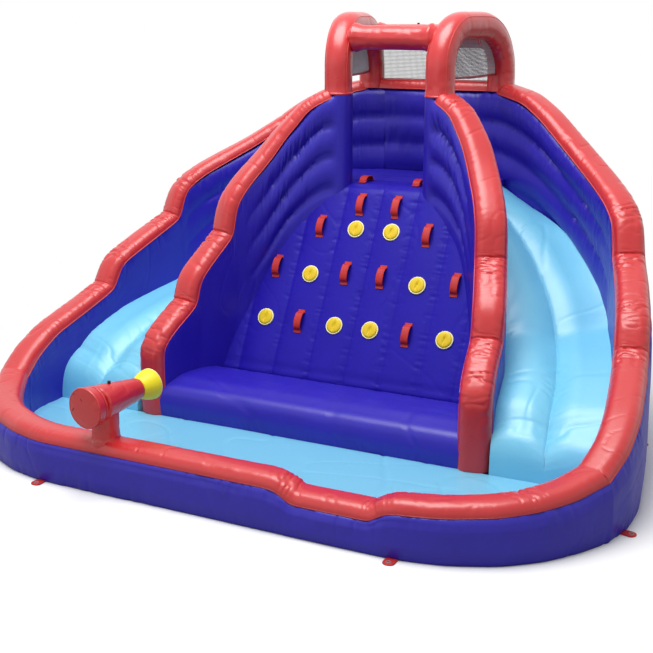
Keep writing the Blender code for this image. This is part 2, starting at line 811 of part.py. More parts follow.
def net_outlines(low, high, outline, inside):
    """A panel's outline with a grid of square gaps that lie well inside it."""
    width = high[0] - low[0]
    rise = high[1] - low[1]
    columns = max(1, int((width - NET_CORD) / NET_CELL))
    rows = max(1, int((rise - NET_CORD) / NET_CELL))
    left = low[0] + (width - columns * NET_CELL) / 2
    foot = low[1] + (rise - rows * NET_CELL) / 2
    half = (NET_CELL - NET_CORD) / 2
    holes = []
    for c in range(columns):
        for r in range(rows):
            x = left + NET_CELL * (c + 0.5)
            z = foot + NET_CELL * (r + 0.5)
            square = [(x - half, z - half), (x + half, z - half),
                      (x + half, z + half), (x - half, z + half)]
            if all(inside(px, pz) for px, pz in square):
                holes.append(square)
    return [outline] + holes


def build_nets():
    """Side nets inside the arches above a hem, and the net across the back."""
    along, span = arch_frame()
    inset = POST_RADIUS
    reach = POST_RADIUS - NET_BORDER / 2
    contour = arch_points(reach, side_net_foot)
    radius = ARCH_CORNER - inset
    top = TOWER_FOOT + ARCH_RISE - inset

    def inside(s, z):
        if not inset + NET_BORDER < s < span - inset - NET_BORDER:
            return False
        if not side_net_foot + NET_BORDER / 2 < z < top - NET_BORDER:
            return False
        side = max(inset + radius - s, s - (span - inset - radius))
        over = z - (top - radius)
        if side > 0 and over > 0:
            return math.hypot(side, over) < radius - NET_BORDER
        return True

    shapes = net_outlines((inset, side_net_foot), (span - inset, top), contour, inside)
    placing = Matrix((
        (along.x, 0.0, along.y, front_post.x),
        (along.y, 0.0, -along.x, front_post.y),
        (0.0, 1.0, 0.0, 0.0),
        (0.0, 0.0, 0.0, 1.0),
    ))
    mesh = flat_mesh("right_side_net", shapes, NET_THICKNESS, placing)
    nets = add_pair("side_net", mesh, NET_NYLON)
    hem = [arch_place(reach, side_net_foot), arch_place(span - reach, side_net_foot)]
    hem_mesh = meshed("right_net_hem", tube_curve("hem_line", hem, HEM_RADIUS, 2))
    hems = (hem_mesh, mirrored(hem_mesh, "left_net_hem"))
    for net, hem, side in zip(nets, hems, ("right", "left")):
        boolean(net, add_cutter(side + "_net_hem", hem), "UNION")
        boolean(net, bpy.data.objects[side + "_arch_cutter"], "DIFFERENCE")

    half = REAR_POST_X - reach
    foot = TOWER_FOOT + CAP_EDGE
    crest = rear_beam_z - BEAM_RADIUS + NET_BORDER / 2
    outline = [(-half, foot), (half, foot), (half, crest), (-half, crest)]
    clear = foot + CAP_CROWN + NET_BORDER / 2

    def within(x, z):
        return abs(x) < half - NET_BORDER * 1.5 and clear < z < crest - NET_BORDER

    shapes = net_outlines((-half, foot), (half, crest), outline, within)
    stand = Matrix.Translation((0.0, TOWER_REACH, 0.0)) @ Matrix.Rotation(math.pi / 2, 4, "X")
    net = add_object("rear_net", flat_mesh("rear_net", shapes, NET_THICKNESS, stand), NET_NYLON)
    path, half_width = rear_cap_line()
    seat = cap_mesh("rear_cap_cutter", path, [TOWER_FOOT, TOWER_FOOT], half_width, TOUCH)
    boolean(net, add_cutter("rear_cap_cutter", seat), "DIFFERENCE")
    for name in ("right_arch_cutter", "left_arch_cutter", "rear_beam_cutter"):
        boolean(net, bpy.data.objects[name], "DIFFERENCE")


# Climbing aids, each seated on the sloping wall
def slope_frame():
    """Foot point, up-slope direction and outward normal of the climbing face."""
    slope = Vector((0.0, climb_top_y - STEP_DEPTH, DECK_HEIGHT - STEP_HEIGHT)).normalized()
    normal = Vector((0.0, -slope.z, slope.y))
    foot = Vector((0.0, STEP_DEPTH, STEP_HEIGHT))
    return foot, slope, normal


def on_slope(x, share):
    """Placing on the climbing face, at a share of the way up from the step to the deck."""
    foot, slope, normal = slope_frame()
    length = (DECK_HEIGHT - STEP_HEIGHT) / slope.z
    place = foot + slope * length * share + Vector((x, 0.0, 0.0)) + normal * TOUCH
    side = slope.cross(normal)
    frame = Matrix((side, slope, normal)).transposed().to_4x4()
    return Matrix.Translation(place) @ frame


def strap_outline():
    """A webbing handle from the side: flat feet and an arched middle, (along, out)."""
    half = STRAP_LENGTH / 2
    rise = STRAP_RISE
    foot = STRAP_FOOT
    thick = STRAP_THICKNESS
    span = half - foot
    outer = [(-half, 0.0), (-half, thick)]
    lower = []
    steps = 6
    for k in range(steps + 1):
        s = -span + 2 * span * k / steps
        z = (rise - thick) * math.sin(math.pi * k / steps) ** 0.7 if 0 < k < steps else 0.0
        outer.append((s, z + thick))
        lower.append((s, z))
    outer.append((half, thick))
    outer.append((half, 0.0))
    return outer + list(reversed(lower))


def build_climbing_aids():
    turn = Matrix(((0, 0, 1, 0), (1, 0, 0, 0), (0, 1, 0, 0), (0, 0, 0, 1)))
    strap = flat_mesh("strap", [strap_outline()], STRAP_WIDTH, turn)
    for side, name in ((1, "right"), (-1, "left")):
        straps = []
        for column, share in STRAP_SHARES:
            copy = strap.copy()
            copy.transform(on_slope(side * column * channel_pitch, share))
            straps.append(copy)
        copy = strap.copy()
        ledge = climb_points(0.0)
        middle = (ledge[5].x + ledge[6].x) / 2
        copy.transform(Matrix.Translation(
            (side * channel_pitch * DECK_STRAP_SHARE, middle, DECK_HEIGHT + TOUCH)))
        straps.append(copy)
        for number, mesh in enumerate(straps, 1):
            add_object(f"{name}_climbing_strap_{number}", mesh, RED_WEBBING)
    for side, name in ((1, "right"), (-1, "left")):
        number = 0
        for column, share in HOLD_SHARES:
            bm = bmesh.new()
            rings = ((HOLD_RADIUS, 0.0), (HOLD_RADIUS, HOLD_FLANGE),
                     (HOLD_RADIUS * 0.82, HOLD_FLANGE), (HOLD_RADIUS * 0.6, HOLD_DOME * 0.85),
                     (HOLD_RADIUS * 0.3, HOLD_DOME))
            count = 16
            loops = []
            for radius, rise in rings:
                loops.append([bm.verts.new((radius * math.cos(math.tau * k / count),
                                            radius * math.sin(math.tau * k / count), rise))
                              for k in range(count)])
            for near, far in zip(loops, loops[1:]):
                for k in range(count):
                    bm.faces.new((near[k], near[(k + 1) % count], far[(k + 1) % count], far[k]))
            bm.faces.new(loops[0])
            bm.faces.new(loops[-1])
            bmesh.ops.recalc_face_normals(bm, faces=bm.faces)
            bm.transform(on_slope(side * column * channel_pitch, share))
            mesh = bpy.data.meshes.new("hold")
            bm.to_mesh(mesh)
            bm.free()
            number += 1
            add_object(f"{name}_climbing_hold_{number}", mesh, YELLOW_VINYL)


def loop_mesh(place, outward):
    """A folded webbing loop that lies flat on the ground, its inner end in the wall's foot."""
    half = LOOP_WIDTH / 2
    outline = [(-half, -LOOP_SEAM), (half, -LOOP_SEAM), (half, LOOP_LENGTH - half / 2),
               (half / 2, LOOP_LENGTH), (-half / 2, LOOP_LENGTH),
               (-half, LOOP_LENGTH - half / 2)]
    across = Vector((outward.y, -outward.x, 0.0))
    frame = Matrix((across, outward.to_3d(), (0.0, 0.0, 1.0))).transposed().to_4x4()
    placing = Matrix.Translation((place.x, place.y, LOOP_THICKNESS / 2)) @ frame
    return flat_mesh("loop", [outline], LOOP_THICKNESS, placing)


def foot_line(outer, inner):
    """Where a wall with swollen sides meets the ground."""
    out = (outer - inner).normalized()
    return outer + out * WALL_FLARE * SWELL_SHARES[0][1]


def sew_loop(wall, a, b, share, side=1):
    """Fuse a stake loop to the foot of a wall, between two points of its foot line."""
    middle = a.lerp(b, share)
    edge = (b - a).normalized()
    outward = Vector((-edge.y, edge.x))
    if outward.dot(middle - Vector((0.0, front_post.y / 2))) < 0:
        outward.negate()
    mesh = loop_mesh(middle, outward)
    if side < 0:
        mesh = mirrored(mesh, "loop")
    boolean(wall, add_cutter("stake_loop", mesh), "UNION")


def build_stake_loops():
    """Webbing loops for ground stakes, sewn to the feet of the outside walls."""
    feet = [foot_line(b, a) for a, b in zip(outer_right, outer_left)]
    rim_feet = [foot_line(b, a) for a, b in zip(rim_right, rim_left)]
    for name, side in (("right", 1), ("left", -1)):
        wall = bpy.data.objects[name + "_outer_wall"]
        sew_loop(wall, feet[4], feet[5], 0.5, side)
        sew_loop(wall, feet[9], feet[10], 0.5, side)
        sew_loop(wall, feet[15], feet[16], 0.2, side)
        sew_loop(bpy.data.objects["front_pool_wall"], rim_feet[5], rim_feet[6], 0.4, side)
        rear = outer_clear[1][0]
        ends = (Vector((rear.x * 0.2 * side, rear.y)), Vector((rear.x * side, rear.y)))
        sew_loop(bpy.data.objects["rear_wall"], *ends, 0.7)


# Water cannon
def build_cannon():
    post_y = -POOL_REACH
    foot = RIM_SEAM
    pivot_z = CANNON_AXIS_Z - BALL_DROP
    bpy.ops.mesh.primitive_cylinder_add(
        vertices=32, radius=CANNON_POST_RADIUS, depth=CANNON_POST_TOP - foot,
        location=(CANNON_X, post_y, (CANNON_POST_TOP + foot) / 2))
    post = adopt(bpy.context.object, "cannon_post", RED_VINYL, base)
    sides = match_ends((list(rim_right), list(rim_left)))
    cut = loft_mesh("rim_cutter", cap_sections(
        rim_path, rim_heights, WALL / 2, TOUCH, sides), swap_diagonal=True)
    boolean(post, add_cutter("rim_cutter", cut), "DIFFERENCE")
    bpy.ops.mesh.primitive_cylinder_add(
        vertices=32, radius=SPIGOT_RADIUS + TOUCH, depth=(SPIGOT_LENGTH + TOUCH) * 2,
        location=(CANNON_X, post_y, CANNON_POST_TOP))
    socket = bpy.context.object
    boolean(post, hide_cutter(socket, "spigot_cutter"), "DIFFERENCE")

    turntable = bpy.data.objects.new("cannon_turntable", None)
    turntable.parent = base
    turntable.location = (CANNON_X, post_y, pivot_z)
    parts.objects.link(turntable)
    aim = bpy.data.objects.new("cannon_aim", None)
    aim.parent = turntable
    aim.rotation_euler = (0.0, 0.0, -math.radians(CANNON_TURN))
    parts.objects.link(aim)

    drop = CANNON_POST_TOP + TOUCH - pivot_z
    bpy.ops.mesh.primitive_cylinder_add(
        vertices=32, radius=CANNON_POST_RADIUS, depth=CANNON_COLLAR_TOP - CANNON_POST_TOP - TOUCH,
        location=(0.0, 0.0, (CANNON_COLLAR_TOP + CANNON_POST_TOP + TOUCH) / 2 - pivot_z))
    collar = adopt(bpy.context.object, "cannon_swivel", RED_VINYL, turntable)
    bpy.ops.mesh.primitive_cylinder_add(
        vertices=32, radius=SPIGOT_RADIUS, depth=SPIGOT_LENGTH * 2,
        location=(0.0, 0.0, drop))
    spigot = bpy.context.object
    boolean(collar, hide_cutter(spigot, "spigot_union", turntable), "UNION")
    bpy.ops.mesh.primitive_uv_sphere_add(
        segments=28, ring_count=18, radius=BALL_RADIUS + TOUCH * 4, location=(0.0, 0.0, 0.0))
    boolean(collar, hide_cutter(bpy.context.object, "ball_cutter", turntable), "DIFFERENCE")

    lift = BALL_DROP
    back = -CANNON_BACK
    taper = (CANNON_REAR_RADIUS - CANNON_FRONT_RADIUS) / (CANNON_BACK + CANNON_BARREL_FRONT)

    def radius_at(y):
        return CANNON_REAR_RADIUS - taper * (y + CANNON_BACK)

    seam = back + CANNON_CAP_LENGTH
    edge = CANNON_EDGE
    centre = (0.0, 0.0, lift)
    turned("cannon_rear_cap", [
        (0.0, seam - TOUCH),
        (radius_at(seam) - edge, seam - TOUCH),
        (radius_at(seam), seam - TOUCH - edge / 2),
        (radius_at(back), back + edge),
        (radius_at(back) - edge * 0.3, back + edge * 0.3),
        (radius_at(back) - edge, back),
        (0.0, back - edge * 0.4),
    ], RED_VINYL, aim, centre=centre)
    front = CANNON_BARREL_FRONT
    barrel = turned("cannon_barrel", [
        (0.0, front),
        (radius_at(front) - edge * 0.5, front),
        (radius_at(front), front - edge * 0.5),
        (radius_at(seam + edge), seam + edge),
        (radius_at(seam) - edge, seam),
        (0.0, seam),
    ], RED_VINYL, aim, centre=centre)
    bpy.ops.mesh.primitive_uv_sphere_add(
        segments=28, ring_count=18, radius=BALL_RADIUS, location=(0.0, 0.0, 0.0))
    boolean(barrel, hide_cutter(bpy.context.object, "ball_union", aim), "UNION")

    throat = CANNON_FRONT_RADIUS
    mouth = NOZZLE_MOUTH_RADIUS
    wall = NOZZLE_WALL
    start = front + TOUCH
    end = CANNON_LENGTH - CANNON_BACK
    turned("cannon_nozzle", [
        (0.0, end - NOZZLE_DEPTH),
        (throat - wall, end - NOZZLE_DEPTH),
        (mouth - wall * 1.4, end),
        (mouth - wall * 0.5, end + wall * 0.4),
        (mouth, end),
        (throat + (mouth - throat) * 0.3, start + (end - start) * 0.45),
        (throat, start + edge),
        (throat - edge * 0.5, start),
        (0.0, start),
    ], YELLOW_VINYL, aim, centre=centre)

    y = ELBOW_FORWARD
    top = lift + radius_at(y)
    line = [(0.0, y, top + TOUCH * 4), (0.0, y, top + FITTING_LENGTH * 0.6),
            (0.0, y + FITTING_RADIUS * 0.5, top + FITTING_LENGTH * 0.85),
            (0.0, y + FITTING_LENGTH, top + FITTING_LENGTH)]
    mesh = meshed("cannon_hose_elbow", tube_curve("elbow_line", line, TUBE_RADIUS, 2))
    add_object("cannon_hose_elbow", mesh, BLACK_PLASTIC, aim)


def adopt(obj, name, material, parent):
    """Name a new primitive and move it to the parts collection."""
    obj.name = name
    obj.data.name = name
    for holder in list(obj.users_collection):
        holder.objects.unlink(obj)
    parts.objects.link(obj)
    obj.parent = parent
    obj.data.materials.append(material)
    return obj


def hide_cutter(obj, name, parent=base):
    """Turn a new primitive into a hidden cutter."""
    obj.name = name
    for holder in list(obj.users_collection):
        holder.objects.unlink(obj)
    cutters.objects.link(obj)
    obj.parent = parent
    obj.hide_render = True
    obj.display_type = "WIRE"
    return obj


def build_fittings():
    """Water fittings on the tower, the inflation sleeve and the deflation zip."""
    along, span = arch_frame()
    spring = TOWER_FOOT + ARCH_RISE - ARCH_CORNER
    turn = math.radians(ARCH_FITTING_TURN)
    reach = ARCH_CORNER + POST_RADIUS - FITTING_RADIUS
    bend = arch_place(span - ARCH_CORNER + reach * math.sin(turn), spring + reach * math.cos(turn))
    crest = Vector((BEAM_FITTING_X, rear_beam_y, rear_beam_z + BEAM_RADIUS - FITTING_RADIUS))
    for name, place, cutter in (("arch_spray_fitting", bend, "right_arch_cutter"),
                                ("beam_spray_fitting", crest, "rear_beam_cutter")):
        line = [place, place + Vector((0.0, 0.0, FITTING_LENGTH * 0.9)),
                place + Vector((FITTING_LENGTH * 0.3, 0.0, FITTING_LENGTH * 1.2))]
        mesh = meshed(name, tube_curve(name + "_line", line, TUBE_RADIUS, 2))
        fitting = add_object(name, mesh, BLACK_PLASTIC)
        boolean(fitting, bpy.data.objects[cutter], "DIFFERENCE")

    rear = outer_clear[1][0].y
    line = [(SLEEVE_X, rear + TOUCH, SLEEVE_Z), (SLEEVE_X, rear + SLEEVE_LENGTH, SLEEVE_Z)]
    mesh = meshed("inflation_sleeve", tube_curve("sleeve_line", line, SLEEVE_RADIUS, 4))
    mesh.shade_smooth()
    sleeve = add_object("inflation_sleeve", mesh, BLUE_VINYL)
    bpy.ops.mesh.primitive_torus_add(
        major_segments=32, minor_segments=8, major_radius=SLEEVE_RADIUS,
        minor_radius=SLEEVE_TIE, location=(SLEEVE_X, rear + SLEEVE_LENGTH * 0.7, SLEEVE_Z),
        rotation=(math.pi / 2, 0.0, 0.0))
    boolean(sleeve, hide_cutter(bpy.context.object, "sleeve_tie"), "UNION")

    half = ZIP_LENGTH / 2
    tape = [(-half, -ZIP_WIDTH / 2), (half, -ZIP_WIDTH / 2), (half, ZIP_WIDTH / 2),
            (-half, ZIP_WIDTH / 2)]
    face = rear + TOUCH
    stand = Matrix.Rotation(math.pi / 2, 4, "X")
    placing = Matrix.Translation((0.0, face + ZIP_THICKNESS / 2, ZIP_HEIGHT)) @ stand
    add_object("zip_tape", flat_mesh("zip_tape", [tape], ZIP_THICKNESS, placing), WHITE_ZIP)
    out = face + ZIP_THICKNESS + TOUCH + SLIDER_THICKNESS / 2
    left = -half + SLIDER_LENGTH
    width = SLIDER_WIDTH / 2
    body = [(-SLIDER_LENGTH / 2, -width * 0.6), (SLIDER_LENGTH / 2, -width),
            (SLIDER_LENGTH / 2, width), (-SLIDER_LENGTH / 2, width * 0.6)]
    placing = Matrix.Translation((left, out, ZIP_HEIGHT)) @ stand
    add_object("zip_slider", flat_mesh("zip_slider", [body], SLIDER_THICKNESS, placing),
               BLACK_PLASTIC)


def centre_on_ground():
    """Carry the slide so that the middle of its base lies at the origin."""
    bpy.context.view_layer.update()
    depsgraph = bpy.context.evaluated_depsgraph_get()
    reach = []
    for obj in parts.objects:
        if obj.type != "MESH":
            continue
        mesh = obj.evaluated_get(depsgraph).data
        reach += [(obj.matrix_world @ vertex.co).y for vertex in mesh.vertices]
    base.location = (0.0, -(min(reach) + max(reach)) / 2, 0.0)
    bpy.context.view_layer.update()


build_side_walls()
build_side_caps()
build_rear_wall()
build_pool()
build_middle()
build_slides()
build_tower()
build_nets()
build_climbing_aids()
build_stake_loops()
build_cannon()
build_fittings()
centre_on_ground()
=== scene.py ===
import math

import bmesh
import bpy
import numpy as np
from mathutils import Matrix, Vector


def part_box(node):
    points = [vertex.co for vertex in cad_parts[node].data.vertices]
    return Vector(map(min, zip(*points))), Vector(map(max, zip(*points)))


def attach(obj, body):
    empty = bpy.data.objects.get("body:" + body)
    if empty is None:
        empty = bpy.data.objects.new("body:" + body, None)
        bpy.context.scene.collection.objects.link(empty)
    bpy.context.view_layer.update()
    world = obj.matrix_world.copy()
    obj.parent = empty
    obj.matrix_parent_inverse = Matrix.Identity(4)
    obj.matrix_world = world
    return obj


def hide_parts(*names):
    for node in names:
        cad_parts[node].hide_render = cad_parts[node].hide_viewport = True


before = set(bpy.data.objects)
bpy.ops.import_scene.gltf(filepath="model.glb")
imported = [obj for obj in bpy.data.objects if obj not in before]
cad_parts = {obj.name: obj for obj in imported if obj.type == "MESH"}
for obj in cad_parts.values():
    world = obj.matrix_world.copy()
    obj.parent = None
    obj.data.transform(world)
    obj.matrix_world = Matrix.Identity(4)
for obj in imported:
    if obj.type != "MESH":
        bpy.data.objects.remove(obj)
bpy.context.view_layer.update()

# Metres, in the frame's axes. The plan is drawn from the front face of the entry step.
SIDE_REACH = 1.8725
TOWER_REACH = 2.0
POOL_REACH = 0.945
TOWER_FOOT = 2.0
STEP_DEPTH = 0.53
TOUCH = 0.0003
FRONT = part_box("climbing_wall")[0].y - STEP_DEPTH - TOUCH

# Walls and the crowned caps on them
WALL = 0.185
WALL_FLARE = 0.03
INNER_SWELL = 0.008
RIB_DEPTH = 0.018
RIB_CROWN = 0.012
CAP_RISE = 0.067
CROWN_ROWS = 26
PIPING = 0.0035
FRONT_POST = np.array((0.354, 1.21))
REAR_POST = np.array((0.48, TOWER_REACH))
POST_RADIUS = 0.088
POST_MARGIN = 0.006
ARCH_RISE = 0.432
ARCH_CORNER = 0.25
BEAM_RADIUS = 0.078
FRONT_BEAM = (1.28, 2.358)
REAR_BEAM = (1.935, 2.36)

# Pool, step, climbing wall and platform
PAD = 0.07
POOL_HALF_WIDTH = 1.775
RIM_SEAM = 0.225
RIM_DIP = 0.062
STEP_HEIGHT = 0.28
STEP_CROWN = 0.02
CLIMB_TOP_Y = 1.157
DECK_HEIGHT = 1.43
DECK_CORNER = 0.1
DECK_THICKNESS = 0.2
CLIMB_LEDGE = 0.17
DECK_EDGE = ((1.28, 0.27), (1.34, 0.43), (1.4, 0.475), (1.95, 0.52))
CHANNEL_PITCH = 0.25
CHANNEL_DEPTH = 0.014
BAY_OVERLAP = 0.075
BAY_TUCK = 0.045
REAR_BEND_SHARE = 1.3

# Slide beds
BED_TUBE = 0.055
BED_START = 1.43
LIP_HEIGHT = 0.36

# Climbing aids
STRAP_LENGTH = 0.155
STRAP_WIDTH = 0.05
STRAP_RISE = 0.04
STRAP_THICKNESS = 0.006
STRAP_FOOT = 0.022
HOLD_RADIUS = 0.058
HOLD_RIM_ROWS = 4

# Nets, webbing and stake loops
NET_PITCH = 0.009
NET_WIRE = 0.0033
NET_TUCK = 0.008
SIDE_NET_RISE = 0.115
SIDE_NET_SLANT = 0.32
HEM_RADIUS = 0.008
LOOP_WIDTH = 0.06
LOOP_LENGTH = 0.07
LOOP_THICKNESS = 0.006

# Water cannon
CANNON_X = -0.683
CANNON_POST_RADIUS = 0.075
CANNON_POST_TOP = 0.33
CANNON_AXIS_Z = 0.492
CANNON_TURN = 6.5
CANNON_BACK = 0.15
CANNON_FRONT = 0.26
CANNON_LENGTH = 0.517
CANNON_REAR_RADIUS = 0.114
CANNON_FRONT_RADIUS = 0.061
CANNON_CAP_LENGTH = 0.062
NOZZLE_MOUTH = 0.088
NOZZLE_WALL = 0.012
NOZZLE_DEPTH = 0.085
NOZZLE_LIP_RADIUS = 0.0028
CANNON_DISH = 0.0045
SLIT_RADIUS = 0.0016
# Angle, share of the rear cap's radius and length of each slit
CANNON_SLITS = ((1.9, 0.42, 0.017), (3.35, 0.72, 0.02), (2.35, 0.86, 0.016))

# Inflation sleeve and deflation zip on the back
STUB_RADIUS = 0.009
STUB_LENGTH = 0.016
SLEEVE_RADIUS = 0.075
SLEEVE_LENGTH = 0.13
SLEEVE_X = -0.2
SLEEVE_Z = 0.16
ZIP_LENGTH = 0.5
ZIP_HEIGHT = 0.42
ZIP_TOOTH = 0.004
TOOTH_HALF_WIDTH = 0.0014
TOOTH_HALF_HEIGHT = 0.003

# Shares of the side reach, tower reach and tower foot along the walls
INNER_PATH_SHARES = (
    (0.283, 0.564, 0.955), (0.320, 0.541, 0.907), (0.355, 0.515, 0.868),
    (0.386, 0.485, 0.818), (0.415, 0.449, 0.772), (0.446, 0.405, 0.725),
    (0.476, 0.355, 0.659), (0.486, 0.335, 0.557), (0.514, 0.260, 0.490),
    (0.536, 0.198, 0.430), (0.540, 0.177, 0.355), (0.555, 0.085, 0.300),
    (0.569, 0.025, 0.250),
)
OUTER_PATH_SHARES = (
    (0.395, 0.943, 0.970), (0.481, 0.895, 0.922), (0.566, 0.845, 0.858),
    (0.648, 0.787, 0.800), (0.726, 0.718, 0.750), (0.796, 0.645, 0.703),
    (0.843, 0.583, 0.655), (0.860, 0.550, 0.555), (0.903, 0.435, 0.495),
    (0.943, 0.300, 0.430), (0.953, 0.260, 0.350), (0.977, 0.140, 0.300),
    (0.999, 0.000, 0.250), (0.999, -0.103, 0.200), (0.976, -0.190, 0.155),
)
CORNER_SHARES = (
    (0.972, 0.408, 1.36), (0.926, 0.575, 1.2), (0.865, 0.730, 1.12),
    (0.789, 0.852, 1.06), (0.678, 0.952, 1.02), (0.575, 1.000, 1.0),
)
DIP_SHARES = ((0.5447, 0), (0.4967, 1), (0.267, 1), (0.219, 0))
BED_SHARES = (0.944, 0.902, 0.839, 0.769, 0.685, 0.601, 0.517, 0.472, 0.434, 0.385, 0.367, 0.301)
LIP_SHARES = ((0.35, 0.95), (0.62, 0.88), (0.8, 0.78), (0.92, 0.6), (0.98, 0.42), (1.0, 0.24))
LOWEST_RIB_SHARE = 0.7
STRAP_SHARES = ((0.5, 0.894), (1.5, 0.765), (2.5, 0.536), (0.5, 0.536), (1.5, 0.268))
HOLD_SHARES = ((0.5, 0.765), (1.5, 0.513), (2.5, 0.268), (0.5, 0.268))

# Mesh steps along a piece
FINE = 0.007
CAP_STEP = 0.006
BED_STEP = 0.009

# Camera, fitted to pairs of the picture's points that are alike on the left and the right
CAMERA_PLACE = (3.067, -6.2346, 2.492)
CAMERA_TILT = 75.0
CAMERA_TURN = 27.017
CAMERA_LENS = 63.91


# Small tools -----------------------------------------------------------------------------
def ripple(u, v, seed):
    """Smooth noise from -1 to 1 on a lattice, the same on each run."""
    u, v = np.broadcast_arrays(np.asarray(u, float), np.asarray(v, float))
    cell_u, cell_v = np.floor(u), np.floor(v)
    ease_u, ease_v = u - cell_u, v - cell_v
    ease_u = ease_u * ease_u * (3 - 2 * ease_u)
    ease_v = ease_v * ease_v * (3 - 2 * ease_v)

    def corner(a, b):
        n = np.sin(a * 127.1 + b * 311.7 + seed * 74.7) * 43758.5453
        return 2 * (n - np.floor(n)) - 1

    low = corner(cell_u, cell_v) * (1 - ease_u) + corner(cell_u + 1, cell_v) * ease_u
    high = corner(cell_u, cell_v + 1) * (1 - ease_u) + corner(cell_u + 1, cell_v + 1) * ease_u
    return low * (1 - ease_v) + high * ease_v


def creases(u, v, seed, width=0.3):
    """Narrow folds, 1 in the valley and 0 between, where the noise passes through zero."""
    fold = np.clip(1 - np.abs(ripple(u, v, seed)) / width, 0, 1)
    return fold * fold * (3 - 2 * fold)


def bell(distance, reach):
    """1 at no distance, falling away to nothing beyond the reach."""
    return np.exp(-(distance / reach) ** 2)


def sides(path, half):
    """Mitred lines on both sides of a plan path: the right-hand one first."""
    right, left = [], []
    for i, point in enumerate(path):
        before = point - path[i - 1] if i else path[1] - path[0]
        after = path[i + 1] - point if i < len(path) - 1 else before
        before = before / np.linalg.norm(before)
        after = after / np.linalg.norm(after)
        along = before + after
        along = along / np.linalg.norm(along)
        across = np.array((along[1], -along[0])) * half / max(float(along @ after), 0.5)
        right.append(point + across)
        left.append(point - across)
    return np.array(right), np.array(left)


def side_path(post, shares):
    """Middle line and heights of a side wall, from behind its post outwards."""
    points = np.array([(x * SIDE_REACH, y * TOWER_REACH) for x, y, z in shares])
    along = points[0] - post
    along = along / np.linalg.norm(along)
    start = [post - along * (POST_RADIUS + POST_MARGIN), post + along * (POST_RADIUS + TOUCH)]
    heights = [TOWER_FOOT, TOWER_FOOT] + [z * TOWER_FOOT for x, y, z in shares]
    return np.array(start + list(points)), np.array(heights)


def respaced(rows, step, easing=0.03, crease_share=0.25):
    """Rows (right x y, left x y, height, ...) spaced evenly and eased at their bends.

    Returns the rows, their distance along the piece, and where it has valleys and crests.
    """
    rows = np.array(rows, float)
    run = np.column_stack(((rows[:, 0:2] + rows[:, 2:4]) / 2, rows[:, 4]))
    gaps = np.diff(run, axis=0)
    lengths = np.linalg.norm(gaps, axis=1)
    place = np.concatenate(([0.0], np.cumsum(lengths)))
    slope = gaps[:, 2] / lengths
    turn = np.diff(slope)
    valleys = place[1:-1][turn > 0.3]
    crests = place[1:-1][turn < -0.3]
    count = max(4, int(round(place[-1] / step)))
    at = np.linspace(0.0, place[-1], count + 1)
    fine = np.column_stack([np.interp(at, place, column) for column in rows.T])
    pull = np.ones(len(at))
    for valley in valleys:
        pull -= (1 - crease_share) * bell(at - valley, easing)
    pull = np.clip(pull, 0, 1)[:, None]
    spacing = place[-1] / count
    for _ in range(int(2 * (easing / spacing) ** 2) + 1):
        eased = fine.copy()
        eased[1:-1] = fine[1:-1] / 2 + (fine[:-2] + fine[2:]) / 4
        fine = fine + (eased - fine) * pull
    return fine, at, valleys, crests


def puckers(s, distance, seed, depth=0.006, pitch=0.034, reach=0.07):
    """Folds that a tight seam draws into the fabric beside it, in groups along it.

    The depth and pitch of the folds, and how far they reach from the seam, are in metres.
    """
    group = np.clip(ripple(s / (pitch * 8), distance * 0, seed + 0.5) * 0.7 + 0.55, 0, 1)
    fold = creases(s / pitch + distance / (reach * 4), distance / (reach * 2), seed, 0.5)
    return depth * group * bell(distance, reach) * fold


def skin(name, grid, finish, closed_ends=True):
    """A smooth closed skin over rings of points, with a UV map in metres."""
    rows, columns = grid.shape[:2]
    points = grid.reshape(-1, 3) + np.array((0.0, FRONT, 0.0))
    index = np.arange(rows * columns).reshape(rows, columns)
    near, far = index[:-1], index[1:]
    quads = np.stack((near, np.roll(near, -1, 1), np.roll(far, -1, 1), far), axis=-1)
    faces = quads.reshape(-1, 4).tolist()
    if closed_ends:
        faces.append(index[0][::-1].tolist())
        faces.append(index[-1].tolist())
    mesh = bpy.data.meshes.new(name)
    mesh.from_pydata(points.tolist(), [], faces)
    steps = np.linalg.norm(np.diff(grid, axis=0), axis=2).mean(axis=1)
    along = np.concatenate(([0.0], np.cumsum(steps)))
    rounds = np.linalg.norm(np.diff(grid, axis=1), axis=2).mean(axis=0)
    across = np.concatenate(([0.0], np.cumsum(rounds)))
    loops = np.zeros(len(mesh.loops), np.int64)
    mesh.loops.foreach_get("vertex_index", loops)
    uv = np.column_stack((along[loops // columns], across[loops % columns]))
    layer = mesh.uv_layers.new(name="fabric")
    layer.data.foreach_set("uv", uv.astype(np.float32).ravel())
    obj = bpy.data.objects.new(name, mesh)
    bpy.context.scene.collection.objects.link(obj)
    return face_out(obj, finish)


def face_out(obj, finish):
    """Point a closed piece's faces outwards, smooth it and give it its finish."""
    select(obj)
    bpy.ops.object.mode_set(mode="EDIT")
    bpy.ops.mesh.select_all(action="SELECT")
    bpy.ops.mesh.normals_make_consistent(inside=False)
    bpy.ops.object.mode_set(mode="OBJECT")
    bpy.ops.object.shade_smooth_by_angle(angle=math.radians(65))
    obj.data.materials.clear()
    obj.data.materials.append(finish)
    return obj


def select(obj):
    """Make this the only selected object and the active one."""
    bpy.ops.object.select_all(action="DESELECT")
    obj.select_set(True)
    bpy.context.view_layer.objects.active = obj


def carried(obj, slot, *nodes, body="slide", fill=None):
    """Ride on a body and stand for CAD nodes; the slot is not used."""
    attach(obj, body)
    if nodes:
        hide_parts(*nodes)
    return obj


def flipped(grid):
    """The same piece on the left side."""
    return grid * np.array((-1.0, 1.0, 1.0))


# Each side's name and how points given on the right are brought to it
SIDES = (("right", lambda grid: grid), ("left", flipped))


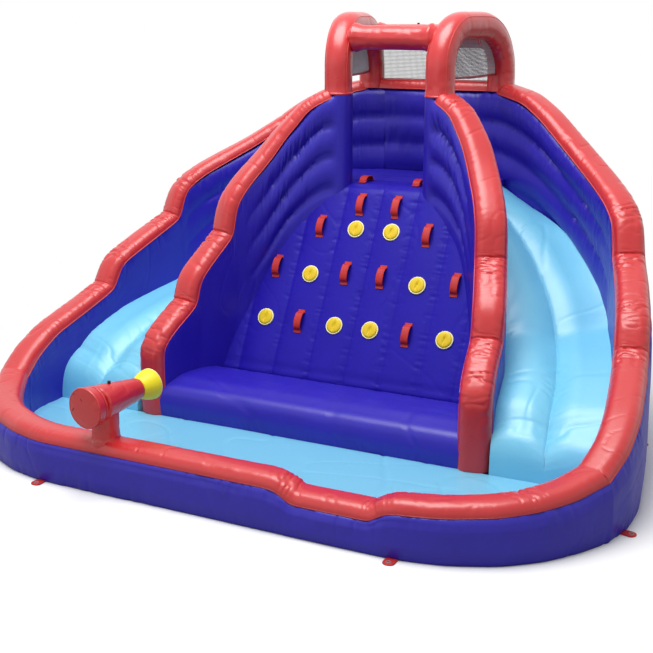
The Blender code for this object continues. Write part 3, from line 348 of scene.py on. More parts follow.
def placed_skin(name, grid, finish, placing):
    """A skin over rings given about their own origin, put where the placing says."""
    obj = skin(name, grid - np.array((0.0, FRONT, 0.0)), finish)
    obj.data.transform(placing)
    return obj


def torus(name, radius, thickness, segments, placing, finish, upright=True):
    """A round bead about the placing's Z axis, or about its Y axis where it stands upright."""
    bpy.ops.object.select_all(action="DESELECT")
    bpy.ops.mesh.primitive_torus_add(major_segments=segments, minor_segments=8,
                                     major_radius=radius, minor_radius=thickness,
                                     rotation=(math.pi / 2 if upright else 0.0, 0.0, 0.0))
    bpy.ops.object.transform_apply(rotation=True)
    obj = bpy.context.object
    obj.name = name
    obj.data.transform(placing)
    return face_out(obj, finish)


def swept(name, line, radius, finish, sides_count=8, shift=True):
    """A thin round cord, bead or band along a line of points."""
    line = np.array(line, float)
    tangent = np.gradient(line, axis=0)
    tangent /= np.linalg.norm(tangent, axis=1, keepdims=True)
    reference = np.array((0.0, 0.0, 1.0))
    if abs(tangent[:, 2]).max() > 0.95:
        reference = np.array((1.0, 0.0, 0.0))
    side = np.cross(tangent, reference)
    side /= np.maximum(np.linalg.norm(side, axis=1, keepdims=True), 1e-9)
    up = np.cross(side, tangent)
    rings = []
    for k in range(sides_count):
        turn = math.tau * k / sides_count
        rings.append(line + radius * (math.cos(turn) * side + math.sin(turn) * up))
    grid = np.stack(rings, axis=1)
    if not shift:
        grid = grid - np.array((0.0, FRONT, 0.0))
    return skin(name, grid, finish)


# Materials -------------------------------------------------------------------------------
def linear(colour):
    """sRGB hex to linear RGBA."""
    parts = [int(colour[i:i + 2], 16) / 255 for i in (0, 2, 4)]
    return [c / 12.92 if c <= 0.04045 else ((c + 0.055) / 1.055) ** 2.4 for c in parts] + [1.0]


def add_node(tree, kind, links=(), **settings):
    """Add a node, set its values and link (input, node, output) triples into it."""
    node = tree.nodes.new(kind)
    for name, value in settings.items():
        if name in node.inputs:
            node.inputs[name].default_value = value
        else:
            setattr(node, name, value)
    for socket, source, output in links:
        tree.links.new(source.outputs[output], node.inputs[socket])
    return node


def blank_material(name):
    """A new material, its node tree and its shader."""
    material = bpy.data.materials.new(name)
    material.use_nodes = True
    tree = material.node_tree
    shader = tree.nodes["Principled BSDF"]
    shader.inputs["Metallic"].default_value = 0.0
    return material, tree, shader


def two_tone(tree, shader, source, deep, tone):
    """A base colour that drifts between two tones with a texture's factor."""
    tint = add_node(tree, "ShaderNodeMix", [("Factor", source, "Fac")], data_type="RGBA")
    tint.inputs[6].default_value = linear(deep)
    tint.inputs[7].default_value = linear(tone)
    tree.links.new(tint.outputs[2], shader.inputs["Base Color"])


def coated_nylon(name, tone, deep, gloss=0.4, crinkle=1.0, coat=0.35, index=1.45):
    """PVC-coated nylon: a wet-looking coat over a woven scrim, with fine crinkles.

    The scrim's threads lie 1 mm apart, too fine to show, so they are drawn at 4 mm.
    """
    material, tree, shader = blank_material(name)
    place = add_node(tree, "ShaderNodeTexCoord")
    cloud = add_node(tree, "ShaderNodeTexNoise", [("Vector", place, "Object")],
                     Scale=5.0, Detail=4.0, Roughness=0.6)
    two_tone(tree, shader, cloud, deep, tone)
    rub = add_node(tree, "ShaderNodeTexNoise", [("Vector", place, "Object")],
                   Scale=22.0, Detail=3.0)
    sheen = add_node(tree, "ShaderNodeMapRange", [("Value", rub, "Fac")])
    sheen.inputs["To Min"].default_value = gloss - 0.06
    sheen.inputs["To Max"].default_value = gloss + 0.1
    tree.links.new(sheen.outputs["Result"], shader.inputs["Roughness"])
    shader.inputs["IOR"].default_value = index
    shader.inputs["Coat Weight"].default_value = coat
    shader.inputs["Coat Roughness"].default_value = 0.32
    fine = add_node(tree, "ShaderNodeTexNoise", [("Vector", place, "Object")],
                    Scale=38.0, Detail=5.0, Roughness=0.55, Distortion=0.6)
    warp = add_node(tree, "ShaderNodeTexWave", [("Vector", place, "UV")],
                    bands_direction="X", Scale=125.0)
    weft = add_node(tree, "ShaderNodeTexWave", [("Vector", place, "UV")],
                    bands_direction="Y", Scale=125.0)
    weave = add_node(tree, "ShaderNodeMath", [(0, warp, "Fac"), (1, weft, "Fac")],
                     operation="MULTIPLY")
    crinkles = add_node(tree, "ShaderNodeBump", [("Height", fine, "Fac")],
                        Strength=0.3, Distance=0.003 * crinkle)
    scrim = add_node(tree, "ShaderNodeBump",
                     [("Height", weave, "Value"), ("Normal", crinkles, "Normal")],
                     Strength=0.12, Distance=0.0004)
    tree.links.new(scrim.outputs["Normal"], shader.inputs["Normal"])
    return material


def plain_webbing(name, tone, deep):
    """Woven polyester webbing: matt, with cross ribs 3 mm apart."""
    material, tree, shader = blank_material(name)
    place = add_node(tree, "ShaderNodeTexCoord")
    ribs = add_node(tree, "ShaderNodeTexWave", [("Vector", place, "Object")],
                    bands_direction="DIAGONAL", Scale=90.0, Distortion=0.4)
    two_tone(tree, shader, ribs, deep, tone)
    shader.inputs["Roughness"].default_value = 0.6
    bump = add_node(tree, "ShaderNodeBump", [("Height", ribs, "Fac")],
                    Strength=0.4, Distance=0.0006)
    tree.links.new(bump.outputs["Normal"], shader.inputs["Normal"])
    return material


def moulded(name, tone, deep, roughness):
    """Injection-moulded plastic: even colour with a faint grain."""
    material, tree, shader = blank_material(name)
    place = add_node(tree, "ShaderNodeTexCoord")
    grain = add_node(tree, "ShaderNodeTexNoise", [("Vector", place, "Object")],
                     Scale=160.0, Detail=3.0)
    two_tone(tree, shader, grain, deep, tone)
    shader.inputs["Roughness"].default_value = roughness
    bump = add_node(tree, "ShaderNodeBump", [("Height", grain, "Fac")],
                    Strength=0.2, Distance=0.0004)
    tree.links.new(bump.outputs["Normal"], shader.inputs["Normal"])
    return material


# Chambers, caps and beds are sewn from nylon cloth with a PVC coat rolled on its outer side.
# Each roll has its own gloss: the climbing wall is the most matt and the tower the shiniest.
BLUE_NYLON = coated_nylon("royal_blue_coated_nylon", "2A1DB0", "23169C", coat=0.15)
RED_NYLON = coated_nylon("red_coated_nylon", "CE2024", "BE181C", gloss=0.42, coat=0.8)
# The climbing wall's copy of the royal blue has a darker tone than the walls' cloth: painted shade
# on the climbing face.
SHADED_CLIMBING_NYLON = coated_nylon("royal_blue_climbing_nylon_painted_shade", "2418A4", "1E1290",
                              coat=0.0, index=1.25)
TOWER_NYLON = coated_nylon("red_tower_coated_nylon", "D02226", "C01A1E", gloss=0.28, coat=0.9)
PALE_NYLON = coated_nylon("pale_blue_coated_nylon", "7ACCE8", "70C4E4", gloss=0.4, coat=0.6)
POOL_NYLON = coated_nylon("pool_floor_coated_nylon", "7AC2E0", "74BDDC", gloss=0.4, crinkle=0.5)
# Seams are piped with a folded strip of the same cloth
PIPING_RED = coated_nylon("red_seam_piping", "D8443E", "CC3A36", crinkle=0.2)
RIM_PIPING_RED = coated_nylon("dark_red_seam_piping", "A01C34", "8C162C", crinkle=0.2)
# Grips and nozzle are cast in soft PVC; the black fittings are injection-moulded ABS
YELLOW_PVC = moulded("soft_yellow_pvc", "E4C40A", "DAB806", 0.5)
NOZZLE_PVC = moulded("lemon_yellow_pvc", "F4E41E", "EEDC14", 0.45)
PALE_YELLOW = moulded("welded_pale_yellow_rim", "F6F2BC", "F0EAAA", 0.4)
# Eyelets are pressed from sheet steel that has gone dull
STEEL = moulded("dull_steel_eyelet", "8C8C90", "78787C", 0.35)
# The same black also draws the cannon's slits: painted shade for the dark inside of each slit.
BLACK_ABS_AND_SLIT_SHADE = moulded("black_moulded_plastic_and_painted_slit_shade", "1A1A1C", "121214", 0.4)
# Straps, stake loops and the zip's tape are woven on a narrow loom
RED_WEBBING = plain_webbing("red_polyester_webbing", "C4221E", "A81814")
ZIP_TAPE = plain_webbing("white_zip_tape", "E2E2E0", "D0D0CE")
# Nets are knitted from round cord and hemmed with a strip of coated cloth
NET_CORD = moulded("grey_knitted_net", "B0B0B4", "A2A2A6", 0.7)
REAR_NET_CORD = moulded("dark_grey_knitted_net", "343438", "2A2A2E", 0.7)
HEM_BAND = coated_nylon("dark_red_hem_band", "A03040", "8C2838", crinkle=0.3)


# Walls -----------------------------------------------------------------------------------
def bed_height(row):
    """Height of a slide's bed at a row of its path."""
    return BED_START if row < 2 else BED_START * BED_SHARES[min(row - 2, len(BED_SHARES) - 1)]


def wall_rows(path, heights):
    """Stations of a wall: its two sides, its height and the share where its lowest rib is."""
    right, left = sides(path, WALL / 2)
    low = [min(bed_height(i) / h, LOWEST_RIB_SHARE) for i, h in enumerate(heights)]
    return np.column_stack((right, left, heights, low))


def rib_form(share, low, power):
    """How far a ribbed face lies in from the wall's side: three fat tubes between seams."""
    q = (share - low) * 3 / (1 - low)
    tube = np.abs(np.sin(np.pi * np.clip(q, 0, 3))) ** power
    inward = RIB_DEPTH * 1.5 - (RIB_DEPTH * 1.5 + RIB_CROWN) * tube
    below = np.clip(1 + q * 3, 0, 1)
    return np.where(q > 0, inward, RIB_DEPTH * 1.5 * below * below)


def wall_grid(rows, at, ribbed, swelling, seed, fade=None, round_end=False,
              face_rows=72, back_rows=48, power=0.4, tight=0.6):
    """Rings of an inflated wall: the first side up, over the top, the other side down."""
    first, second = rows[:, 0:2], rows[:, 2:4]
    if round_end:
        reach = WALL / 2
        share = np.clip(1 - at / reach, 0, 1)
        half = np.sqrt(1 - share * share * 0.98)[:, None]
        middle = (first + second) / 2
        first, second = middle + (first - middle) * half, middle + (second - middle) * half
    out = rows[:, 2:4] - rows[:, 0:2]
    out /= np.linalg.norm(out, axis=1, keepdims=True)
    height, low = rows[:, 4:5], rows[:, 5:6]
    share = np.linspace(0.0, 1.0, face_rows)[None, :] * np.ones_like(height)
    drop = (1 - share) * height
    s = at[:, None] * np.ones_like(share)
    strength = np.ones_like(s) if fade is None else fade(s)
    inward = -0.004 * np.ones_like(s)
    if ribbed:
        inward = inward + (rib_form(share, low, power) + 0.004) * strength
        third = (1 - low) / 3
        for number in (1, 2):
            far = (share - low - third * number) * height
            inward += strength * puckers(s, far - 0.03, seed + number, 0.009 * tight, 0.026, 0.07)
            inward += strength * puckers(s, far + 0.03, seed + number + 3,
                                         0.005 * tight, 0.03, 0.05)
    inward += puckers(s, drop, seed + 5, 0.006, 0.038, 0.07)
    inward += puckers(s, share * height - 0.03, seed + 12, 0.004, 0.06, 0.05)
    inward += 0.0016 * creases(s / 0.5 + drop / 0.7, drop / 0.5 - s / 0.8, seed + 6, 0.07)
    inward += 0.004 * ripple(s / 0.3, drop / 0.3, seed + 7)
    inward += 0.002 * bell(drop, 0.018)
    face = np.empty(share.shape + (3,))
    face[..., :2] = first[:, None, :] + out[:, None, :] * inward[..., None]
    face[..., 2] = share * height
    back_share = np.linspace(1.0, 0.0, back_rows)[None, :] * np.ones_like(height)
    back_drop = (1 - back_share) * height
    s = at[:, None] * np.ones_like(back_share)
    swell = np.interp(back_share, (0, 0.05, 0.3, 0.75, 0.94, 1), (0.5, 0.75, 1, 0.8, 0.4, 0.0))
    swell = swell * swelling
    swell = swell - puckers(s, back_drop, seed + 8, 0.006, 0.042, 0.08)
    swell = swell - puckers(s, back_share * height, seed + 9, 0.005, 0.055, 0.09)
    swell = swell - 0.0016 * creases(s / 0.5 + back_drop / 0.7, back_drop / 0.5, seed + 10, 0.07)
    slack = min(0.003, swelling) * ripple(s / 0.35, back_drop / 0.3, seed + 11)
    swell = swell + slack * (back_drop > 0.02)
    back = np.empty(back_share.shape + (3,))
    back[..., :2] = second[:, None, :] + out[:, None, :] * swell[..., None]
    back[..., 2] = back_share * height
    return np.concatenate((face, back), axis=1)


def cap_grid(rows, at, valleys, crests, seed, crown_rows=CROWN_ROWS, rise=CAP_RISE, rounded=""):
    """Rings of a crowned cap on a wall: across its crown, then back along its seat."""
    right = np.column_stack((rows[:, 0:2], rows[:, 4]))
    left = np.column_stack((rows[:, 2:4], rows[:, 4]))
    middle = (right + left) / 2
    full = np.ones((len(at), 1))
    if rounded:
        reach = WALL / 2
        near = at if rounded == "start" else np.minimum(at, at[-1] - at)
        full = np.sqrt(1 - 0.98 * np.clip(1 - near / reach, 0, 1) ** 2)[:, None]
        right, left = middle + (right - middle) * full, middle + (left - middle) * full
    along = np.gradient(middle, at, axis=0)
    spacing = at[1] - at[0]
    for _ in range(int(2 * (0.035 / spacing) ** 2) + 1):
        along[1:-1] = along[1:-1] / 2 + (along[:-2] + along[2:]) / 4
    across = right - left
    across /= np.linalg.norm(across, axis=1, keepdims=True)
    up = np.cross(across, along)
    up /= np.linalg.norm(up, axis=1, keepdims=True)
    up[up[:, 2] < -0.01] *= -1
    t = (1 - np.cos(np.linspace(0, math.pi, crown_rows))) / 2
    width = np.linalg.norm(right - left, axis=1)[:, None]
    s = at[:, None] * np.ones((1, crown_rows))
    edge = np.minimum(t, 1 - t)[None, :] * width
    crown = rise * (1 - np.abs(2 * t - 1) ** 3.6)[None, :] ** 0.5 * full
    wide = t[None, :]
    drop = puckers(s, edge, seed, 0.005, 0.03, 0.04)
    for k, crest in enumerate(crests):
        near = bell(s - crest + 0.06, 0.08)
        drop += 0.009 * near * creases(s / 0.026 + wide * 1.2, wide * 2.2, seed + 20 + k, 0.4)
    for k, valley in enumerate(valleys):
        drop += 0.008 * bell(s - valley, 0.008) + 0.004 * bell(s - valley, 0.035)
        near = bell(s - valley - 0.09, 0.1)
        drop += 0.008 * near * creases(s / 0.023 - wide * 0.8, wide * 2.5, seed + 40 + k, 0.4)
    drop += 0.003 * creases(s / 0.12 + wide * 0.6, wide * 1.3, seed + 60, 0.08)
    drop += 0.0025 * (ripple(s / 0.25, wide * 1.2, seed + 61) + 1) / 2
    crown = np.maximum(crown - drop * np.clip(crown / (rise * 0.5), 0, 1), 0.0)
    place = right[:, None, :] + (left - right)[:, None, :] * t[None, :, None]
    top = place + up[:, None, :] * (crown + TOUCH)[..., None]
    seat = place[:, ::-1][:, 1:-1:6] + up[:, None, :] * TOUCH
    return np.concatenate((top, seat), axis=1)


def cap_beads(name, grid, finish):
    """The two piped seams along a cap's edges."""
    for side, column in (("right", 0), ("left", CROWN_ROWS - 1)):
        line = grid[::2, column]
        bead = swept(f"{name}_{side}_seam", line, PIPING, finish, 6)
        carried(bead, "red_vinyl")


def inner_fade(s):
    """How strong the ribs are along an inner wall: from the post until they die out."""
    return np.clip((s - 0.1) / 0.05, 0, 1) * np.clip((1.05 - s) / 0.5, 0.0, 1)


def outer_fade(s):
    """How strong the ribs are along an outer wall, from the rear."""
    return np.clip((1.75 - s) / 0.6, 0.04, 1)


def build_side_walls():
    """Inner and outer walls with their caps; returns the outer wall's path and heights."""
    inner_path, inner_heights = side_path(FRONT_POST, INNER_PATH_SHARES)
    outer_path, outer_heights = side_path(REAR_POST, OUTER_PATH_SHARES)
    for kind, path, heights, fade, seed in (
        ("inner", inner_path, inner_heights, inner_fade, 3),
        ("outer", outer_path, outer_heights, outer_fade, 17),
    ):
        near = kind == "inner"
        rows, at = respaced(wall_rows(path, heights), FINE)[:2]
        for (side, turn), extra in zip(SIDES, (0, 100)):
            grid = wall_grid(rows, at, True, INNER_SWELL if near else WALL_FLARE,
                             seed + extra, fade, near,
                             power=0.5 if near else 0.4, tight=1.5 if near else 0.6)
            wall = skin(f"{side}_{kind}_wall_skin", turn(grid), BLUE_NYLON)
            carried(wall, "royal_blue_vinyl", f"{side}_{kind}_wall", fill=1.0)
            cap_path = np.vstack((FRONT_POST if near else REAR_POST, path[2:]))
            cap_rows = wall_rows(cap_path, heights[1:])
            if near:
                along = path[-1] - path[-2]
                along = along / np.linalg.norm(along) * TOUCH
                foot = cap_rows[-1].copy()
                foot[0:4] += np.tile(along, 2)
                foot[4] = PAD + TOUCH
                cap_rows = np.vstack((cap_rows, foot))
            fine, place, dips, tops = respaced(cap_rows, CAP_STEP, 0.05, 0.6)
            grid = cap_grid(fine, place, dips, tops, seed + extra + 200, rounded="start")
            if near:
                grid[:, :, 2] = np.maximum(grid[:, :, 2], PAD + TOUCH)
            grid = turn(grid)
            cap = skin(f"{side}_{kind}_cap_skin", grid, RED_NYLON)
            carried(cap, "red_vinyl", f"{side}_{kind}_cap", fill=1.0)
            cap_beads(f"{side}_{kind}_cap", grid, PIPING_RED)
    return outer_path, outer_heights


def build_rear_wall():
    """The wall behind the platform and its cap."""
    path = side_path(REAR_POST, OUTER_PATH_SHARES)[0]
    right, left = sides(path, WALL / 2 + TOUCH)
    inner, outer = right[0], left[0]
    low = DECK_HEIGHT / TOWER_FOOT
    rows = [(inner[0] * side, inner[1], outer[0] * side, outer[1], TOWER_FOOT, low)
            for side in (1, -1)]
    fine, at = respaced(rows, FINE)[:2]
    grid = wall_grid(fine, at, True, 0.0, 31)
    wall = skin("rear_wall_skin", grid, BLUE_NYLON)
    carried(wall, "royal_blue_vinyl", "rear_wall", fill=1.0)
    low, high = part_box("rear_wall_cap")
    rows = [(x, low.y - FRONT, x, high.y - FRONT, TOWER_FOOT, 0.0)
            for x in (REAR_POST[0], -REAR_POST[0])]
    fine, at = respaced(rows, FINE)[:2]
    grid = cap_grid(fine, at, (), (), 37, rounded="both")
    cap = skin("rear_wall_cap_skin", grid, RED_NYLON)
    carried(cap, "red_vinyl", "rear_wall_cap", fill=1.0)
    cap_beads("rear_wall_cap", grid, PIPING_RED)


def pool_path(outer_path, outer_heights):
    """Middle line of the pool's rim, from the right outer wall round to the left one."""
    rows = pool_rows(outer_path[-1], outer_heights[-1])
    return (rows[:, 0:2] + rows[:, 2:4]) / 2


def pool_rows(outer_end, end_height):
    """Stations of the front pool wall, which starts and ends where the outer walls do."""
    corner = [(np.array((x * SIDE_REACH, -y * POOL_REACH)), z * RIM_SEAM)
              for x, y, z in CORNER_SHARES]
    corner[0] = (outer_end, end_height)
    front = [(np.array((x * SIDE_REACH, -POOL_REACH)), RIM_SEAM - RIM_DIP * share)
             for x, share in DIP_SHARES]
    left = [(p * np.array((-1.0, 1.0)), z) for p, z in reversed(corner)]
    whole = corner + front + left
    path = np.array([p for p, z in whole])
    right, left = sides(path, WALL / 2)
    heights = np.array([z for p, z in whole])
    return np.column_stack((right, left, heights, np.full(len(whole), 0.7)))


def build_pool(outer_path, outer_heights):
    """The front pool wall, its rim cap and the floor inside."""
    rows = pool_rows(outer_path[-1], outer_heights[-1])
    outer_right, outer_left = sides(outer_path, WALL / 2)
    rows[0, 0:4] = (*outer_right[-1], *outer_left[-1])
    rows[-1, 0:4] = (-outer_right[-1][0], outer_right[-1][1],
                     -outer_left[-1][0], outer_left[-1][1])
    fine, at = respaced(rows, FINE, 0.04)[:2]
    grid = wall_grid(fine, at, False, WALL_FLARE, 41, face_rows=18, back_rows=30)
    wall = skin("front_pool_wall_skin", grid, BLUE_NYLON)
    carried(wall, "royal_blue_vinyl", "front_pool_wall", fill=1.0)
    bends = [at[k] for k in range(60, len(at) - 60)
             if abs(fine[k, 4] - fine[k - 8, 4]) > 0.004 > abs(fine[k + 8, 4] - fine[k, 4])]
    bends = [b for i, b in enumerate(bends) if i == 0 or b - bends[i - 1] > 0.1]
    grid = cap_grid(fine, at, (), bends, 47)
    cap = skin("front_rim_cap_skin", grid, RED_NYLON)
    carried(cap, "red_vinyl", "front_rim_cap", fill=1.0)
    cap_beads("front_rim_cap", grid, RIM_PIPING_RED)
    build_pool_floor(fine)


def build_pool_floor(rim):
    """The basin's floor: a flat skin with faint creases, out to the walls' feet."""
    inner = rim[:, 0:2]
    count = 140
    xs = np.linspace(-1.0, 1.0, count * 2)
    front_y = np.interp(xs * inner[:, 0].max(), inner[::-1, 0], inner[::-1, 1])
    rows = 70
    back = -TOUCH
    grid = np.empty((rows, len(xs), 3))
    for k, share in enumerate(np.linspace(0.0, 1.0, rows)):
        grid[k, :, 0] = xs * POOL_HALF_WIDTH
        grid[k, :, 1] = back + (front_y - back) * share
    x, y = grid[..., 0], grid[..., 1]
    sag = 0.004 * creases(x / 0.35 + y / 0.6, y / 0.28, 51, 0.12)
    sag += 0.003 * creases(x / 0.5, y / 0.2 - x / 0.7, 52, 0.1)
    sag += 0.003 * (ripple(x / 0.4, y / 0.4, 53) + 1) / 2
    grid[..., 2] = PAD - sag
    under = grid[:, ::-1].copy()
    under[..., 2] = 0.001
    ring = np.concatenate((grid, under[:, ::40]), axis=1)
    floor = skin("pool_floor_skin", ring, POOL_NYLON)
    carried(floor, "pale_blue_vinyl", "pool_floor", fill=0.6)


# Middle bay ------------------------------------------------------------------------------
def bay_half(y):
    """Half the width between the inner walls at a depth, a little inside their skins."""
    path = side_path(FRONT_POST, INNER_PATH_SHARES)[0]
    right = sides(path, WALL / 2)[0]
    line = right[np.argsort(right[:, 1])]
    half = np.interp(y, line[:, 1], line[:, 0])
    edge = np.array(((line[-1, 1], line[-1, 0]),) + DECK_EDGE)
    behind = np.interp(y, edge[:, 0], edge[:, 1])
    return np.where(y > line[-1, 1], behind, half) + BAY_OVERLAP


def lofted_bay(name, outline, finish, form, columns=241):
    """A piece across the bay: an outline in (depth, height), pushed out by form(x, along)."""
    outline = np.array(outline, float)
    gaps = np.linalg.norm(np.diff(outline, axis=0), axis=1)
    along = np.concatenate(([0.0], np.cumsum(gaps)))
    direction = np.gradient(outline, axis=0)
    direction /= np.maximum(np.linalg.norm(direction, axis=1, keepdims=True), 1e-9)
    normal = np.column_stack((-direction[:, 1], direction[:, 0]))
    half = bay_half(outline[:, 0])[None, :]
    widest = np.max(half)
    x = np.clip(np.linspace(-widest, widest, columns)[:, None], -half, half)
    push = form(x, along[None, :] * np.ones_like(x))
    grid = np.empty(x.shape + (3,))
    grid[..., 0] = x
    grid[..., 1] = outline[None, :, 0] + normal[None, :, 0] * push
    grid[..., 2] = outline[None, :, 1] + normal[None, :, 1] * push
    tuck = outline - normal * BAY_TUCK
    turned, inside = half[0] - 0.004, np.full(len(outline), half.min() * 0.9)
    before = [np.column_stack((-reach, tuck)) for reach in (inside, turned)]
    after = [np.column_stack((reach, tuck)) for reach in (turned, inside)]
    grid = np.concatenate((before, grid, after))
    obj = skin(name, grid, finish)
    select(obj)
    bpy.ops.object.mode_set(mode="EDIT")
    bpy.ops.mesh.select_all(action="SELECT")
    bpy.ops.mesh.remove_doubles(threshold=0.00005)
    bpy.ops.mesh.normals_make_consistent(inside=False)
    bpy.ops.object.mode_set(mode="OBJECT")
    return obj


def spaced(points, step):
    """A polyline respaced evenly."""
    points = np.array(points, float)
    gaps = np.linalg.norm(np.diff(points, axis=0), axis=1)
    place = np.concatenate(([0.0], np.cumsum(gaps)))
    at = np.linspace(0.0, place[-1], max(2, int(place[-1] / step)))
    return np.column_stack([np.interp(at, place, column) for column in points.T])


def eased_line(points, passes):
    """A polyline with its corners softened and its ends kept."""
    points = points.copy()
    for _ in range(passes):
        points[1:-1] = points[1:-1] / 2 + (points[:-2] + points[2:]) / 4
    return points


def build_middle():
    """The climbing wall, the entry step and the platform deck."""
    slope = np.array((CLIMB_TOP_Y - STEP_DEPTH, DECK_HEIGHT - STEP_HEIGHT))
    slope = slope / np.linalg.norm(slope)
    turn = math.acos(slope[0])
    run = DECK_CORNER * math.tan(turn / 2)
    top = np.array((CLIMB_TOP_Y, DECK_HEIGHT))
    face = [(STEP_DEPTH + TOUCH, STEP_HEIGHT * 0.5), (STEP_DEPTH + TOUCH, STEP_HEIGHT - TOUCH)]
    face += [top - slope * run, top - slope * run * 0.3 + (run * 0.1, -0.006),
             top + (run, 0.0), (CLIMB_TOP_Y + run + CLIMB_LEDGE, DECK_HEIGHT)]
    line = eased_line(spaced(face, 0.009), 6)
    back_y = CLIMB_TOP_Y + run + CLIMB_LEDGE
    drop = DECK_HEIGHT - DECK_THICKNESS
    shift = drop / slope[1] * slope[0]
    under = [(back_y, drop), (back_y - shift, 0.0), (STEP_DEPTH + TOUCH, 0.0)]
    outline = np.vstack((line, under))
    visible = len(line)

    def channels(x, along):
        seam = np.abs((x / CHANNEL_PITCH + 0.5) % 1.0 - 0.5) * CHANNEL_PITCH
        arch = np.abs(np.sin(np.pi * x / CHANNEL_PITCH)) ** 0.45
        push = CHANNEL_DEPTH * (arch - 1.0)
        number = np.floor(x / CHANNEL_PITCH + 0.5)
        push -= 0.003 * bell(seam, 0.04) * creases(along / 0.026, number * 7 + seam / 0.09, 61)
        push -= 0.0014 * creases(along / 0.4 + x / 0.5, x / 0.5 - along / 0.9, 62, 0.06)
        push += 0.002 * ripple(x / 0.2, along / 0.25, 63)
        push -= 0.006 * bell(along - 0.17, 0.03)
        level = np.clip((along - 1.36) / 0.1, 0, 1)
        push = push * (1 - 0.55 * level)
        mask = np.ones_like(x)
        mask[:, visible:] = 0.0
        return push * mask

    # The climbing face takes the darker copy of the royal blue: painted shade.
    wall = lofted_bay("climbing_wall_skin", outline, SHADED_CLIMBING_NYLON, channels)
    carried(wall, "royal_blue_vinyl", "climbing_wall", fill=1.0)

    radius = 0.075
    arc = [(radius * (1 - math.cos(a)), STEP_HEIGHT - 0.01 - radius * (1 - math.sin(a)))
           for a in np.linspace(0, math.pi / 2, 8)]
    front = [(0.0, 0.001), (0.0, PAD), (-0.006, 0.11), (-STEP_CROWN / 2, 0.15)] + arc
    front += [(STEP_DEPTH * 0.3, STEP_HEIGHT + STEP_CROWN * 0.8),
              (STEP_DEPTH * 0.5, STEP_HEIGHT + STEP_CROWN),
              (STEP_DEPTH * 0.8, STEP_HEIGHT + STEP_CROWN * 0.5),
              (STEP_DEPTH - 0.03, STEP_HEIGHT - 0.005), (STEP_DEPTH, STEP_HEIGHT - 0.03)]
    line = eased_line(spaced(front, 0.009), 8)
    outline = np.vstack((line, [(STEP_DEPTH, 0.0)]))
    length = len(line)

    def bolster(x, along):
        push = -0.004 * bell(along - 0.08, 0.05) * creases(x / 0.04, along / 0.2, 71)
        push -= 0.005 * bell(along - 0.82, 0.12) * creases(x / 0.035, along / 0.2, 72)
        push -= 0.003 * creases(x / 0.5, along / 0.22 + x / 1.3, 73, 0.12)
        push -= 0.003 * (ripple(x / 0.3, along / 0.2, 74) + 1) / 2
        mask = np.ones_like(x)
        mask[:, length:] = 0.0
        return push * mask

    step = lofted_bay("entry_step_skin", outline, BLUE_NYLON, bolster)
    carried(step, "royal_blue_vinyl", "entry_step", fill=1.0)

    low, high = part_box("platform_deck")
    deck = [(low.y - FRONT, TOUCH), (low.y - FRONT, high.z)]
    deck += [(y, high.z) for y in np.linspace(low.y - FRONT + 0.02, high.y - FRONT, 30)]
    deck += [(high.y - FRONT, TOUCH)]

    def slack(x, along):
        push = -0.004 * creases(x / 0.2 + along / 0.5, along / 0.1, 81, 0.15)
        mask = np.zeros_like(x)
        mask[:, 2:-1] = 1.0
        return push * mask

    floor = lofted_bay("platform_deck_skin", deck, BLUE_NYLON, slack, columns=81)
    carried(floor, "royal_blue_vinyl", "platform_deck", "tower_base", fill=0.9)


